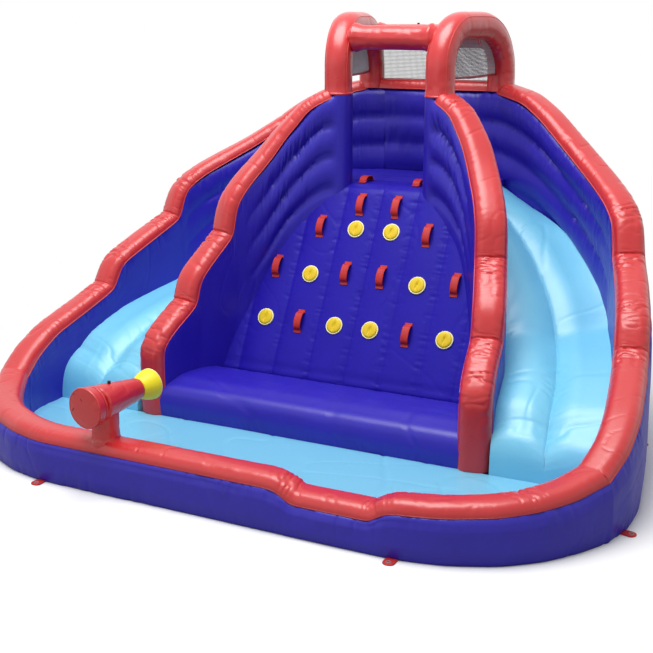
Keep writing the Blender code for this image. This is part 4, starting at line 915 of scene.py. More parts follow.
# Slides ----------------------------------------------------------------------------------
def build_slides():
    """The two slide beds, each down to the ground, and the seam between their tubes."""
    inner_path = side_path(FRONT_POST, INNER_PATH_SHARES)[0]
    outer_path = side_path(REAR_POST, OUTER_PATH_SHARES)[0]
    near = sides(inner_path, WALL / 2)[1]
    far = sides(outer_path, WALL / 2)[0]
    count = len(INNER_PATH_SHARES) + 1
    rows = [(*near[i], *far[i], bed_height(i)) for i in range(1, count)]
    tail = []
    for line in (near, far):
        a, b = line[count - 1], line[count]
        tail.append((a, a + (b - a) * a[1] / (a[1] - b[1])))
    last = rows[-1][4]
    (inner_from, inner_to), (outer_from, outer_to) = tail
    for share, rise in LIP_SHARES:
        a = inner_from + (inner_to - inner_from) * share
        b = outer_from + (outer_to - outer_from) * share
        rows.append((*a, *b, LIP_HEIGHT * rise + (last - LIP_HEIGHT) * max(0.0, 0.3 - share)))
    fine, at = respaced(rows, BED_STEP, 0.045, 1.0)[:2]
    for (side, turn), seed in zip(SIDES, (91, 191)):
        u = np.linspace(0.0, 1.0, 97)[None, :]
        s = at[:, None] * np.ones_like(u)
        width = np.linalg.norm(fine[:, 0:2] - fine[:, 2:4], axis=1)[:, None]
        rise = np.abs(np.sin(2 * np.pi * u)) ** 0.85
        level = np.clip((at[-1] - at[:, None]) / 0.3, 0.3, 1)
        lifted = 0.6 - np.clip((s - 0.3) / 0.3, 0, 1)
        part = np.where(u > 0.75, lifted, np.where(u < 0.25, 0.6, 1.0))
        low = BED_TUBE * (1 - rise) * level * part
        seam = np.abs(u - 0.5) * width
        edge = np.minimum(u, 1 - u) * width
        low = low + 0.004 * bell(seam, 0.008)
        low = low + puckers(s, seam, seed, 0.005, 0.05, 0.06)
        low = low + puckers(s, edge, seed + 1, 0.002, 0.05, 0.08)
        low = low + 0.003 * creases(s / 0.2 + u * 0.6, u * 1.6 + s / 2.0, seed + 2, 0.1)
        bend = bell(s - at[-1] + 0.34, 0.1)
        low = low + 0.005 * bend * creases(s / 0.06 + u * 1.6, u * 2.5, seed + 3, 0.3)
        low = low + 0.002 * (ripple(s / 0.25, u * 2, seed + 4) + 1) / 2
        top = np.empty(s.shape + (3,))
        top[..., :2] = (fine[:, None, 0:2]
                        + (fine[:, None, 2:4] - fine[:, None, 0:2]) * u[..., None])
        top[..., 2] = np.maximum(fine[:, 4:5] - low, PAD * 0.8)
        ends = top[:, ::-1][:, ::32].copy()
        ends[..., 2] = TOUCH
        grid = np.concatenate((top, ends), axis=1)
        bed = skin(f"{side}_slide_bed_skin", turn(grid), PALE_NYLON)
        carried(bed, "pale_blue_vinyl", f"{side}_slide_bed", f"{side}_slide_base",
                fill=1.0)
        stitches = turn(top[4:-12:2, 48])
        seam_line = swept(f"{side}_bed_middle_seam", stitches, PIPING, POOL_NYLON, 6)
        carried(seam_line, "pale_blue_vinyl")


# Tower -----------------------------------------------------------------------------------
def arch_line():
    """The arch's middle line as (distance back, height), with its radial directions."""
    run = REAR_POST - FRONT_POST
    span = np.linalg.norm(run)
    halves = []
    for corner in (ARCH_CORNER, ARCH_CORNER * REAR_BEND_SHARE):
        spring = TOWER_FOOT + ARCH_RISE - corner
        half = [(0.0, TOWER_FOOT + TOUCH), (0.0, spring)]
        for k in range(1, 13):
            turn = math.pi / 2 * k / 12
            half.append((corner * (1 - math.cos(turn)), spring + corner * math.sin(turn)))
        halves.append(half)
    points = halves[0] + [(span - s, z) for s, z in reversed(halves[1])]
    return spaced(points, 0.01), run / span, span


def build_tower():
    """The two arches with their piped seams, and the front and rear beams."""
    line, along, span = arch_line()
    line = np.vstack((line[:1], eased_line(line, 4)[1:-1], line[-1:]))
    forward = np.gradient(line, axis=0)
    forward /= np.linalg.norm(forward, axis=1, keepdims=True)
    radial = np.column_stack((-forward[:, 1], forward[:, 0]))
    middle = np.array((span / 2, TOWER_FOOT + 0.1))
    if ((line - middle) * radial).sum() < 0:
        radial = -radial
    gaps = np.linalg.norm(np.diff(line, axis=0), axis=1)
    s = np.concatenate(([0.0], np.cumsum(gaps)))
    total = s[-1]
    turn = np.linspace(0, math.tau, 48, endpoint=False)
    out = np.array((along[1], -along[0]))
    power = 2.5
    round_off = (np.abs(np.cos(turn)) ** power + np.abs(np.sin(turn)) ** power) ** (-1 / power)
    for (side, mirror), seed in zip(SIDES, (111, 211)):
        rings = []
        for k, (place, direction) in enumerate(zip(line, radial)):
            foot = min(s[k], total - s[k])
            bent = bell(s[k] - 0.34, 0.16) + bell(total - s[k] - 0.34, 0.16)
            inside = np.clip(-np.cos(turn), 0, 1)
            radius = POST_RADIUS * round_off * (0.985 + 0.03 * bell(foot, 0.03))
            radius = radius - 0.006 * bent * inside * creases(s[k] / 0.03, turn * 0.9, seed)
            radius = radius - 0.004 * bell(foot, 0.07) * creases(turn * 4.5, s[k] / 0.2, seed + 1)
            radius = radius - 0.0015 * creases(s[k] / 0.12, turn * 1.3, seed + 2)
            flat = place[0] + direction[0] * np.cos(turn) * radius
            z = place[1] + direction[1] * np.cos(turn) * radius
            ring = np.column_stack((
                FRONT_POST[0] + along[0] * flat + out[0] * np.sin(turn) * radius,
                FRONT_POST[1] + along[1] * flat + out[1] * np.sin(turn) * radius, z))
            rings.append(ring)
        grid = np.array(rings)
        grid[..., 2] = np.maximum(grid[..., 2], TOWER_FOOT)
        arch = skin(f"{side}_tower_arch_skin", mirror(grid), TOWER_NYLON)
        carried(arch, "red_vinyl", f"{side}_tower_arch", fill=1.0)
        for name, column in (("outer", 7), ("inner", 41)):
            bead = swept(f"{side}_arch_{name}_seam", mirror(grid[::2, column]),
                         PIPING * 0.8, PIPING_RED, 6)
            carried(bead, "red_vinyl")
    for name, reach, (y, z), seed in (
        ("front_beam", FRONT_POST[0], FRONT_BEAM, 121),
        ("rear_beam", REAR_POST[0], REAR_BEAM, 131),
    ):
        xs = np.linspace(-reach, reach, 90)
        edge = reach - np.abs(xs)
        rings = []
        inward = 1.0 if name == "front_beam" else -1.0
        for x, e in zip(xs, edge):
            past = max(0.0, e - POST_RADIUS)
            sunk = min(1.0, max(0.0, 1 - e / POST_RADIUS))
            radius = BEAM_RADIUS * (0.985 + 0.2 * bell(past, 0.035)) * (1 - 0.6 * sunk)
            radius = radius - 0.005 * bell(past, 0.06) * creases(turn * 4.0, x / 0.3, seed)
            radius = radius - 0.002 * creases(turn * 1.2, x / 0.1, seed + 1)
            rings.append(np.column_stack((np.full(len(turn), x),
                                          y + inward * sunk * 0.01 + np.cos(turn) * radius,
                                          z - sunk * 0.02 + np.sin(turn) * radius)))
        beam = skin(name + "_skin", np.array(rings), TOWER_NYLON)
        carried(beam, "red_vinyl", name, fill=1.0)


# Small pieces ----------------------------------------------------------------------------
def arch_frame():
    """The arch's direction in plan, the distance between its posts, and a placing.

    The placing takes (distance back, distance outwards, height) to the frame's axes.
    """
    run = REAR_POST - FRONT_POST
    span = np.linalg.norm(run)
    along = run / span
    placing = Matrix((
        (along[0], along[1], 0.0, FRONT_POST[0]),
        (along[1], -along[0], 0.0, FRONT_POST[1] + FRONT),
        (0.0, 0.0, 1.0, 0.0),
        (0.0, 0.0, 0.0, 1.0),
    ))
    return span, placing


def knitted_net(name, low, high, inside, placing, slant, finish):
    """A net panel of fine square cells, cut to a shape and given the thickness of its cords."""
    width, rise = high[0] - low[0], high[1] - low[1]
    wide = width + abs(slant) * rise
    bpy.ops.object.select_all(action="DESELECT")
    bpy.ops.mesh.primitive_grid_add(
        x_subdivisions=int(wide / NET_PITCH),
        y_subdivisions=int(rise / NET_PITCH), size=1.0)
    net = bpy.context.object
    net.name = name
    grid = bmesh.new()
    grid.from_mesh(net.data)
    for vertex in grid.verts:
        z = (vertex.co.y + 0.5) * rise + low[1]
        x = vertex.co.x * wide + (low[0] + high[0]) / 2 + slant * (z - (low[1] + high[1]) / 2)
        vertex.co = (x, 0.0, z)
    outside = [f for f in grid.faces
               if not inside(f.calc_center_median().x, f.calc_center_median().z)]
    bmesh.ops.delete(grid, geom=outside, context="FACES")
    grid.to_mesh(net.data)
    grid.free()
    select(net)
    cords = net.modifiers.new("cords", "WIREFRAME")
    cords.thickness = NET_WIRE
    cords.use_even_offset = False
    bpy.ops.object.modifier_apply(modifier="cords")
    net.data.transform(placing)
    net.data.materials.clear()
    net.data.materials.append(finish)
    return net


def build_nets():
    """The side nets with their hems, and the rear net."""
    span, placing = arch_frame()
    reach = POST_RADIUS * 0.9
    top = TOWER_FOOT + ARCH_RISE - reach
    corner = ARCH_CORNER - reach
    foot = TOWER_FOOT + SIDE_NET_RISE

    def in_arch(s, z):
        if not (reach < s < span - reach and foot < z < top):
            return False
        side = max(reach + corner - s, s - (span - reach - corner), 0.0)
        over = max(z - (top - corner), 0.0)
        return math.hypot(side, over) < corner

    net = knitted_net("right_side_net_mesh", (reach, foot), (span - reach, top), in_arch,
                      placing, SIDE_NET_SLANT, NET_CORD)
    left = net.copy()
    left.data = net.data.copy()
    left.name = "left_side_net_mesh"
    bpy.context.scene.collection.objects.link(left)
    left.data.transform(Matrix.Diagonal((-1.0, 1.0, 1.0, 1.0)))
    left.data.flip_normals()
    for piece, side in ((net, "right"), (left, "left")):
        carried(piece, "grey_net", f"{side}_side_net")

    line = []
    for k in range(25):
        s = reach + (span - 2 * reach) * k / 24
        sag = 0.007 * math.sin(math.pi * k / 24)
        line.append(placing @ Vector((s, 0.0, foot - sag)))
    line = np.array(line) - np.array((0.0, FRONT, 0.0))
    for side, turn in SIDES:
        hem = swept(f"{side}_net_hem", turn(line), HEM_RADIUS, HEM_BAND, 8)
        carried(hem, "red_vinyl")

    crest = REAR_BEAM[1] - BEAM_RADIUS + NET_TUCK
    half = REAR_POST[0] - reach
    bottom = TOWER_FOOT + CAP_RISE - 0.01
    stand = Matrix.Translation((0.0, TOWER_REACH + FRONT, 0.0))
    net = knitted_net("rear_net_mesh", (-half, bottom), (half, crest),
                      lambda x, z: abs(x) < half, stand, 0.0, REAR_NET_CORD)
    carried(net, "grey_net", "rear_net")


def slope_placing(x, share):
    """Placing on the climbing face, at a share of the way up from the step to the deck."""
    slope = Vector((0.0, CLIMB_TOP_Y - STEP_DEPTH, DECK_HEIGHT - STEP_HEIGHT)).normalized()
    normal = Vector((0.0, -slope.z, slope.y))
    length = (DECK_HEIGHT - STEP_HEIGHT) / slope.z
    place = Vector((x, STEP_DEPTH + FRONT, STEP_HEIGHT)) + slope * length * share + normal * TOUCH
    frame_axes = Matrix((slope.cross(normal), slope, normal)).transposed().to_4x4()
    return Matrix.Translation(place) @ frame_axes


def strap_skin(name, placing):
    """A webbing handle: two flat feet, an arched grip and a turned hem on each edge."""
    half = STRAP_LENGTH / 2
    span = half - STRAP_FOOT
    line = [(-half, 0.0)]
    for k in range(25):
        a = math.pi * k / 24
        line.append((-span * math.cos(a), (STRAP_RISE - STRAP_THICKNESS) * math.sin(a) ** 0.62))
    line.append((half, 0.0))
    line = eased_line(spaced(line, 0.004), 3)
    forward = np.gradient(line, axis=0)
    forward /= np.linalg.norm(forward, axis=1, keepdims=True)
    out = np.column_stack((-forward[:, 1], forward[:, 0]))
    across = np.linspace(-1.0, 1.0, 13)
    hem = STRAP_THICKNESS * (0.62 + 0.38 * np.clip((np.abs(across) - 0.72) / 0.1, 0, 1))
    hem = hem * (1 - 0.5 * (np.abs(across) > 0.99))
    rings = []
    for place, direction in zip(line, out):
        top = [(x * STRAP_WIDTH / 2, *(place + direction * h)) for x, h in zip(across, hem)]
        low = [(x * STRAP_WIDTH / 2, *(place + direction * 0.0004)) for x in across[::-3]]
        rings.append(top + low)
    return placed_skin(name, np.array(rings), RED_WEBBING, placing)


def hold_skin(name, placing):
    """A round sewn grip: a flat welded rim round a soft dome with a fold in its middle."""
    profile = ((0.98, 0.0), (0.98, 0.004), (0.965, 0.007), (0.92, 0.0075), (0.865, 0.006),
               (0.855, 0.0065), (0.83, 0.009), (0.77, 0.012), (0.68, 0.0138), (0.55, 0.0145),
               (0.42, 0.015), (0.30, 0.0145), (0.18, 0.014), (0.08, 0.0135))
    turn = np.linspace(0, math.tau, 48, endpoint=False)
    rings = []
    for share, rise in profile:
        x, y = HOLD_RADIUS * share * np.cos(turn), HOLD_RADIUS * share * np.sin(turn)
        soft = np.clip((0.87 - share) / 0.15, 0, 1)
        fold = 0.008 * bell(x - 0.004 * np.sin(y / 0.012), 0.005) * bell(y, 0.034)
        rings.append(np.column_stack((x, y, rise - fold * soft)))
    obj = placed_skin(name, np.array(rings), YELLOW_PVC, placing)
    obj.data.materials.append(PALE_YELLOW)
    for face in obj.data.polygons:
        face.material_index = int(face.index < HOLD_RIM_ROWS * len(turn))
    return obj


def build_climbing_aids():
    """The webbing straps and the yellow holds on the climbing wall and the deck."""
    for sign, side in ((1, "right"), (-1, "left")):
        places = [slope_placing(sign * column * CHANNEL_PITCH, share)
                  for column, share in STRAP_SHARES]
        low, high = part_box(f"{side}_climbing_strap_6")
        middle = (low + high) / 2
        places.append(Matrix.Translation((middle.x, middle.y, DECK_HEIGHT + TOUCH)))
        for number, placing in enumerate(places, 1):
            strap = strap_skin(f"{side}_strap_{number}_webbing", placing)
            carried(strap, "red_webbing", f"{side}_climbing_strap_{number}")
        for number, (column, share) in enumerate(HOLD_SHARES, 1):
            placing = slope_placing(sign * column * CHANNEL_PITCH, share)
            hold = hold_skin(f"{side}_hold_{number}_grip", placing)
            carried(hold, "yellow_vinyl", f"{side}_climbing_hold_{number}", fill=0.8)


def turned_grid(profile, columns=56):
    """Rings about the cannon's own long axis, from (radius, distance) pairs."""
    turn = np.linspace(0, math.tau, columns, endpoint=False)
    rings = [np.column_stack((r * np.cos(turn), np.full(columns, y), r * np.sin(turn)))
             for r, y in profile]
    return np.array(rings), turn


def cannon_skin(name, grid, finish, node, placing, slot):
    """A skin that rides on the body that tilts."""
    return carried(placed_skin(name, grid, finish, placing), slot, node, body="cannon", fill=0.9)


def build_cannon():
    """The water cannon: rear cap, barrel, nozzle, slits, post and turning top."""
    post_y = -POOL_REACH + FRONT
    aim = Matrix.Rotation(-math.radians(CANNON_TURN), 4, "Z")
    placing = Matrix.Translation((CANNON_X, post_y, CANNON_AXIS_Z)) @ aim
    taper = (CANNON_REAR_RADIUS - CANNON_FRONT_RADIUS) / (CANNON_BACK + CANNON_FRONT)

    def radius_at(y):
        return CANNON_REAR_RADIUS - taper * (y + CANNON_BACK)

    # Local X runs across, local Y along the barrel and Z up; the slot is on the right
    back, seam = -CANNON_BACK, -CANNON_BACK + CANNON_CAP_LENGTH
    r = radius_at(back)
    profile = [(0.004, back - CANNON_DISH), (r * 0.3, back - CANNON_DISH), (r * 0.55, back - 0.004),
               (r * 0.75, back - 0.003), (r * 0.88, back - 0.001), (r * 0.93, back + 0.001),
               (r * 0.955, back - 0.001), (r * 0.985, back + 0.001), (r, back + 0.006),
               (r * 0.995, back + 0.012)]
    profile += [(radius_at(y), y) for y in np.linspace(back + 0.018, seam - 0.009, 9)]
    profile += [(radius_at(seam) - 0.003, seam - 0.005), (radius_at(seam) - 0.012, seam - 0.001)]
    grid, turn = turned_grid(profile)
    share = np.linalg.norm(grid[..., [0, 2]], axis=2) / r
    near_rim = bell(share - 0.86, 0.12) * (np.arange(len(profile)) < 9)[:, None]
    grid[..., 1] += 0.004 * near_rim * creases(turn[None, :] * 2.4, share * 2, 401, 0.35)
    folds = bell((turn[None, :] - 0.35 + math.pi) % math.tau - math.pi, 0.5)
    grid[..., 1] += 0.006 * near_rim * folds * creases(turn[None, :] * 9, share * 3, 402, 0.5)
    cannon_skin("cannon_rear_cap_skin", grid, RED_NYLON, "cannon_rear_cap", placing, "red_vinyl")

    profile = [(0.04, seam), (radius_at(seam) - 0.012, seam),
               (radius_at(seam) - 0.003, seam + 0.004)]
    profile += [(radius_at(y), y) for y in np.linspace(seam + 0.009, CANNON_FRONT - 0.006, 60)]
    profile += [(radius_at(CANNON_FRONT) - 0.002, CANNON_FRONT - 0.002),
                (radius_at(CANNON_FRONT) - 0.006, CANNON_FRONT),
                (radius_at(CANNON_FRONT) - 0.02, CANNON_FRONT - 0.001)]
    grid, turn = turned_grid(profile)
    along = grid[..., 1]
    side = bell((turn[None, :] - 0.15 + math.pi) % math.tau - math.pi, 0.75)
    slot = bell(along - seam - 0.018 - 0.008 * np.cos(turn)[None, :], 0.008) * side
    fold = 0.0025 * creases(turn[None, :] * 1.6, along / 0.07, 411, 0.25)
    pleats = creases(turn[None, :] * 5, along * 0, 412, 0.5)
    fold += 0.002 * bell(along - CANNON_FRONT, 0.03) * pleats
    scale = 1 - (0.036 * slot + fold) / np.maximum(np.linalg.norm(grid[..., [0, 2]], axis=2), 0.03)
    grid[..., 0] *= scale
    grid[..., 2] *= scale
    cannon_skin("cannon_barrel_skin", grid, RED_NYLON, "cannon_barrel", placing, "red_vinyl")

    end = CANNON_LENGTH - CANNON_BACK
    throat, mouth = CANNON_FRONT_RADIUS, NOZZLE_MOUTH
    profile = [(throat - 0.016, CANNON_FRONT + TOUCH), (throat - 0.004, CANNON_FRONT + TOUCH)]
    for k in np.linspace(0.0, 1.0, 16):
        y = CANNON_FRONT + 0.002 + (end - CANNON_FRONT - 0.004) * k
        flare = math.sin(k * math.pi / 2) ** 1.2
        profile.append((throat - 0.002 + (mouth - throat + 0.002) * flare, y))
    profile += [(mouth - 0.002, end + 0.003), (mouth - NOZZLE_WALL * 0.5, end + NOZZLE_WALL * 0.4),
                (mouth - NOZZLE_WALL, end + 0.002), (mouth - NOZZLE_WALL * 1.3, end - 0.006)]
    for k in np.linspace(0.1, 1.0, 8):
        profile.append((mouth - NOZZLE_WALL * 1.3 - (mouth - throat) * k, end - NOZZLE_DEPTH * k))
    profile.append((0.004, end - NOZZLE_DEPTH))
    grid, turn = turned_grid(profile)
    cannon_skin("cannon_nozzle_skin", grid, NOZZLE_PVC, "cannon_nozzle", placing, "yellow_vinyl")
    lip = torus("cannon_nozzle_rim", mouth - 0.002, NOZZLE_LIP_RADIUS, 56,
                placing @ Matrix.Translation((0.0, end + 0.001, 0.0)), PALE_YELLOW)
    carried(lip, "yellow_vinyl", body="cannon")

    # Each slit is a thin black cord on the rear cap: painted shade for the dark inside of the slit.
    for number, (angle, reach, length) in enumerate(CANNON_SLITS, 1):
        middle = np.array((math.cos(angle), math.sin(angle))) * r * reach
        lean = np.array((math.cos(angle + 0.4 * number), math.sin(angle + 0.4 * number)))
        line = []
        for k in np.linspace(-0.5, 0.5, 7):
            x, z = middle + lean * length * k
            line.append(placing @ Vector((x, back - CANNON_DISH, z)))
        slit = swept(f"cannon_slit_shade_{number}", line, SLIT_RADIUS, BLACK_ABS_AND_SLIT_SHADE, 6, shift=False)
        carried(slit, "black_plastic", body="cannon")

    # The post, welded to the rim, and its turning top under the barrel
    turn = np.linspace(0, math.tau, 56, endpoint=False)
    rings = []
    for z in np.linspace(0.235, CANNON_POST_TOP, 34):
        weld = 0.014 * math.exp(-max(0.0, z - 0.275) / 0.012)
        radius = CANNON_POST_RADIUS + weld * (z > 0.27) + 0.014 * (z <= 0.27)
        fold = 0.004 * bell(z - 0.29, 0.03) * creases(turn * 4.5, z / 0.08, 421, 0.4)
        radius = radius - fold
        rings.append(np.column_stack((CANNON_X + radius * np.cos(turn),
                                      -POOL_REACH + radius * np.sin(turn), np.full(56, z))))
    post = skin("cannon_post_skin", np.array(rings), RED_NYLON)
    carried(post, "red_vinyl", "cannon_post", fill=0.9)
    rings = []
    radius = CANNON_POST_RADIUS
    around = turn + math.radians(CANNON_TURN)
    across, ahead = radius * np.cos(around), radius * np.sin(around)
    under = CANNON_AXIS_Z - np.sqrt(np.maximum(radius_at(ahead) ** 2 - across ** 2, 0)) + 0.002
    for k in np.linspace(0.0, 1.0, 20):
        z = CANNON_POST_TOP + TOUCH + (under - CANNON_POST_TOP - TOUCH) * k
        size = radius - 0.002 * creases(turn * 3.2, np.full(56, k * 1.4), 431, 0.4)
        rings.append(np.column_stack((CANNON_X + size * np.cos(turn),
                                      -POOL_REACH + size * np.sin(turn), z)))
    inner = rings[-1].copy()
    inner[:, 0] = CANNON_X + (inner[:, 0] - CANNON_X) * 0.75
    inner[:, 1] = -POOL_REACH + (inner[:, 1] + POOL_REACH) * 0.75
    inner[:, 2] = CANNON_POST_TOP + 0.02
    rings.append(inner)
    top = skin("cannon_swivel_skin", np.array(rings), RED_NYLON)
    carried(top, "red_vinyl", "cannon_swivel", body="cannon_turntable", fill=0.8)


def build_back_fittings():
    """The inflation sleeve with its tie, and the deflation zip's tape with its teeth."""
    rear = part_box("inflation_sleeve")[0].y - FRONT
    turn = np.linspace(0, math.tau, 48, endpoint=False)
    rings = []
    for k in np.linspace(0.0, 1.0, 40):
        y = rear + SLEEVE_LENGTH * k
        gather = math.exp(-((k - 0.7) / 0.12) ** 2)
        fullness = 0.02 + 0.1 * gather + 0.06 * (k > 0.7) * (k - 0.7) / 0.3
        ruffle = fullness * np.sin(turn * 11 + k * 2)
        radius = SLEEVE_RADIUS * (0.96 - 0.3 * gather - 0.08 * k) * (1 + ruffle)
        drop = 0.008 * k * k
        rings.append(np.column_stack((SLEEVE_X + radius * np.cos(turn), np.full(48, y),
                                      SLEEVE_Z - drop + radius * np.sin(turn))))
    sleeve = skin("inflation_sleeve_skin", np.array(rings), BLUE_NYLON)
    carried(sleeve, "royal_blue_vinyl", "inflation_sleeve", fill=0.2)
    waist = Matrix.Translation((SLEEVE_X, rear + SLEEVE_LENGTH * 0.7 + FRONT, SLEEVE_Z - 0.004))
    tie = torus("sleeve_tie_webbing", SLEEVE_RADIUS * 0.66, 0.005, 48, waist, RED_WEBBING)
    carried(tie, "red_webbing")

    low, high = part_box("zip_tape")
    count = int(ZIP_LENGTH / ZIP_TOOTH)
    points, faces = [], []
    boxes = [(low.x, high.x, low.z, high.z, low.y, high.y - 0.001)]
    for k in range(count):
        x = low.x + ZIP_TOOTH * (k + 0.5)
        up = 0.0012 if k % 2 else -0.0012
        boxes.append((x - TOOTH_HALF_WIDTH, x + TOOTH_HALF_WIDTH,
                      ZIP_HEIGHT - TOOTH_HALF_HEIGHT + up, ZIP_HEIGHT + TOOTH_HALF_HEIGHT + up,
                      low.y + 0.0005, high.y + 0.0002))
    for x0, x1, z0, z1, y0, y1 in boxes:
        start = len(points)
        points += [(x, y, z) for x in (x0, x1) for y in (y0, y1) for z in (z0, z1)]
        for a, b, c, d in ((0, 1, 3, 2), (4, 6, 7, 5), (0, 4, 5, 1), (2, 3, 7, 6),
                           (0, 2, 6, 4), (1, 5, 7, 3)):
            faces.append((start + a, start + b, start + c, start + d))
    mesh = bpy.data.meshes.new("zip_tape_teeth")
    mesh.from_pydata(points, [], faces)
    tape = bpy.data.objects.new("zip_tape_teeth", mesh)
    bpy.context.scene.collection.objects.link(tape)
    select(tape)
    mesh.materials.append(ZIP_TAPE)
    carried(tape, "white_zip_tape", "zip_tape")


def loop_skin(name, place, outward):
    """A folded webbing loop for a ground stake, with a steel eyelet."""
    across = Vector((outward[1], -outward[0], 0.0))
    ahead = Vector((outward[0], outward[1], 0.0))
    lift = Matrix((across, ahead, (0.0, 0.0, 1.0))).transposed().to_4x4()
    placing = Matrix.Translation((place[0], place[1] + FRONT, 0.0)) @ lift
    rings = []
    for k in np.linspace(0.0, 1.0, 18):
        y = -0.008 + (LOOP_LENGTH + 0.006) * k
        half = LOOP_WIDTH / 2 * math.sqrt(max(0.05, 1 - max(0.0, (k - 0.7) / 0.3) ** 2))
        thick = LOOP_THICKNESS * (0.9 - 0.5 * (k > 0.96))
        rise = 0.001 + 0.002 * math.sin(math.pi * k)
        ring = [(half * x, y, rise + thick * (1 - 0.3 * abs(x) ** 6))
                for x in np.linspace(-1, 1, 9)]
        ring += [(half * x, y, rise * 0.6) for x in np.linspace(1, -1, 4)]
        rings.append(ring)
    carried(placed_skin(name, np.array(rings), RED_WEBBING, placing), "red_webbing")
    eyelet = torus(name.replace("loop", "eyelet"), 0.011, 0.0025, 24,
                   placing @ Matrix.Translation((0.0, LOOP_LENGTH * 0.62, 0.008)), STEEL,
                   upright=False)
    carried(eyelet, "black_plastic")


def build_stake_loops(outer_path, rim):
    """Stake loops round the foot: on the outer walls, the rim's corners and the rear wall."""
    right, left = sides(outer_path, WALL / 2)
    out = left - right
    out /= np.linalg.norm(out, axis=1, keepdims=True)
    feet = left + out * WALL_FLARE * 0.5
    spots = [(feet[4], feet[5], 0.5), (feet[9], feet[10], 0.5), (feet[15], feet[16], 0.2)]
    rim_right, rim_left = sides(rim, WALL / 2)
    out = rim_left - rim_right
    out /= np.linalg.norm(out, axis=1, keepdims=True)
    rim_feet = rim_left + out * WALL_FLARE * 0.5
    spots.append((rim_feet[5], rim_feet[6], 0.4))
    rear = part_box("rear_wall")[1].x
    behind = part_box("rear_wall_cap")[1].y - FRONT
    spots.append((np.array((rear * 0.2, behind)), np.array((rear, behind)), 0.7))
    middle = np.array((0.0, FRONT_POST[1] / 2))
    for number, (a, b, share) in enumerate(spots, 1):
        place = a + (b - a) * share
        edge = (b - a) / np.linalg.norm(b - a)
        outward = np.array((-edge[1], edge[0]))
        if outward @ (place - middle) < 0:
            outward = -outward
        turned_over = np.array((-1.0, 1.0))
        loop_skin(f"right_stake_loop_{number}", place, outward)
        loop_skin(f"left_stake_loop_{number}", place * turned_over, outward * turned_over)


def build_arch_hooks():
    """A webbing loop under each arch, on its outer side."""
    span, placing = arch_frame()
    top = TOWER_FOOT + ARCH_RISE - POST_RADIUS
    line = []
    for k in range(21):
        a = math.pi * k / 20
        line.append(placing @ Vector((span / 2 + 0.017 * math.cos(a), 0.05,
                                      top + 0.006 - 0.034 * math.sin(a) ** 0.7)))
    line = np.array(line) - np.array((0.0, FRONT, 0.0))
    for side, turn in SIDES:
        hook = swept(f"{side}_arch_hook", turn(line), 0.0042, PIPING_RED, 8)
        carried(hook, "red_webbing")


def build_stubs():
    """Short black hose stubs on the cannon, an arch and the rear beam."""
    for node, body, carrier in (
        ("cannon_hose_elbow", "cannon", "cannon_barrel_skin"),
        ("arch_spray_fitting", "slide", "right_tower_arch_skin"),
        ("beam_spray_fitting", "slide", "rear_beam_skin"),
    ):
        low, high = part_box(node)
        above = Vector(((low.x + high.x) / 2, (low.y + high.y) / 2, high.z + STUB_LENGTH * 2))
        foot = bpy.data.objects[carrier].ray_cast(above, (0.0, 0.0, -1.0))[1]
        line = [foot + Vector((0.0, 0.0, z)) for z in (-STUB_LENGTH, 0.0, STUB_LENGTH)]
        stub = swept(f"{node}_stub", line, STUB_RADIUS, BLACK_ABS_AND_SLIT_SHADE, 12, shift=False)
        carried(stub, "black_plastic", node, body=body)


def build_post_feet():
    """The red panel on top of each inner wall, round the foot of its post."""
    path = side_path(FRONT_POST, INNER_PATH_SHARES)[0]
    along = (path[1] - path[0]) / np.linalg.norm(path[1] - path[0])
    across = np.array((along[1], -along[0]))
    turn = np.linspace(0, math.tau, 64, endpoint=False)
    rings = []
    for share, z in ((0.9, 0.001), (1.035, 0.001), (1.05, 0.006), (1.035, 0.012), (0.9, 0.016)):
        reach = WALL / 2 * share
        ring = (FRONT_POST + np.outer(np.cos(turn) * reach, along)
                + np.outer(np.sin(turn) * reach, across))
        rings.append(np.column_stack((ring, np.full(64, TOWER_FOOT + z))))
    grid = np.array(rings)
    for side, turn_over in SIDES:
        collar = skin(f"{side}_post_foot_band", turn_over(grid), RED_NYLON)
        carried(collar, "red_vinyl")


outer_wall = build_side_walls()
build_rear_wall()
build_pool(*outer_wall)
build_middle()
build_slides()
build_tower()
build_nets()
build_climbing_aids()
build_cannon()
build_back_fittings()
build_stake_loops(outer_wall[0], pool_path(*outer_wall))
build_arch_hooks()
build_post_feet()
build_stubs()
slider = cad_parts["zip_slider"]
slider.data.materials.clear()
slider.data.materials.append(BLACK_ABS_AND_SLIT_SHADE)


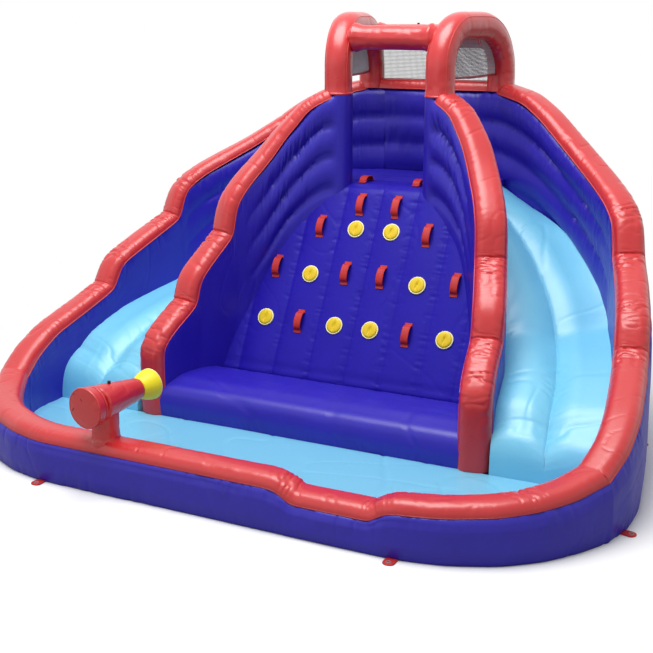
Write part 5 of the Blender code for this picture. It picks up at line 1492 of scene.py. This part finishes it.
# Stage, light and camera -----------------------------------------------------------------
def build_stage():
    """A white floor that keeps the slide's shadow, a plain white world and two softboxes."""
    bpy.ops.object.select_all(action="DESELECT")
    bpy.ops.mesh.primitive_plane_add(size=60.0, location=(0.0, 0.0, -0.001))
    ground = bpy.context.object
    ground.name = "studio_floor"
    material, tree, shader = blank_material("matt_white_floor")
    rays = add_node(tree, "ShaderNodeLightPath")
    white = add_node(tree, "ShaderNodeMix", [("Factor", rays, "Is Camera Ray")], data_type="RGBA")
    white.inputs[6].default_value = (0.5, 0.5, 0.5, 1.0)
    white.inputs[7].default_value = (0.93, 0.93, 0.93, 1.0)
    tree.links.new(white.outputs[2], shader.inputs["Base Color"])
    shader.inputs["Roughness"].default_value = 0.9
    shader.inputs["Specular IOR Level"].default_value = 0.0
    place = add_node(tree, "ShaderNodeTexCoord")
    reach = add_node(tree, "ShaderNodeVectorMath", [(0, place, "Object")], operation="LENGTH")
    far = add_node(tree, "ShaderNodeMapRange", [("Value", reach, "Value")],
                   interpolation_type="SMOOTHSTEP")
    far.inputs["From Min"].default_value = 1.8
    far.inputs["From Max"].default_value = 3.6
    share = add_node(tree, "ShaderNodeMath", [(0, far, "Result"), (1, rays, "Is Camera Ray")],
                     operation="MULTIPLY")
    glow = add_node(tree, "ShaderNodeEmission")
    mix = add_node(tree, "ShaderNodeMixShader",
                   [(0, share, "Value"), (1, shader, "BSDF"), (2, glow, "Emission")])
    tree.links.new(mix.outputs["Shader"], tree.nodes["Material Output"].inputs["Surface"])
    ground.data.materials.append(material)

    world = bpy.data.worlds.new("white_studio")
    bpy.context.scene.world = world
    world.use_nodes = True
    tree = world.node_tree
    background = tree.nodes["Background"]
    rays = add_node(tree, "ShaderNodeLightPath")
    seen = add_node(tree, "ShaderNodeMath", operation="MAXIMUM",
                    links=[(0, rays, "Is Camera Ray"), (1, rays, "Is Glossy Ray")])
    seen = add_node(tree, "ShaderNodeMath", operation="MAXIMUM",
                    links=[(0, seen, "Value"), (1, rays, "Is Transmission Ray")])
    level = add_node(tree, "ShaderNodeMapRange", [("Value", seen, "Value")])
    level.inputs["To Min"].default_value = 0.4
    level.inputs["To Max"].default_value = 1.0
    tree.links.new(level.outputs["Result"], background.inputs["Strength"])
    background.inputs["Color"].default_value = (1.0, 1.0, 1.0, 1.0)

    for name, place, size, power in (
        ("overhead_softbox", (-0.4, -1.4, 7.8), 6.0, 640.0),
        ("front_fill", (-3.5, -7.5, 3.5), 6.0, 40.0),
    ):
        bpy.ops.object.light_add(type="AREA", location=place)
        lamp = bpy.context.object
        lamp.name = name
        lamp.data.shape = "DISK"
        lamp.data.size = size
        lamp.data.energy = power
        aim = Vector((0.0, 0.3, 0.8)) - Vector(place)
        lamp.rotation_euler = aim.to_track_quat("-Z", "Y").to_euler()


def build_camera():
    """The picture's own view."""
    data = bpy.data.cameras.new("camera")
    camera = bpy.data.objects.new("camera", data)
    bpy.context.scene.collection.objects.link(camera)
    camera.location = CAMERA_PLACE
    camera.rotation_euler = (math.radians(CAMERA_TILT), 0.0, math.radians(CAMERA_TURN))
    data.lens = CAMERA_LENS
    data.sensor_width = 36.0
    data.clip_end = 100.0
    bpy.context.scene.camera = camera


build_stage()
build_camera()
bpy.context.scene.view_settings.view_transform = "Standard"
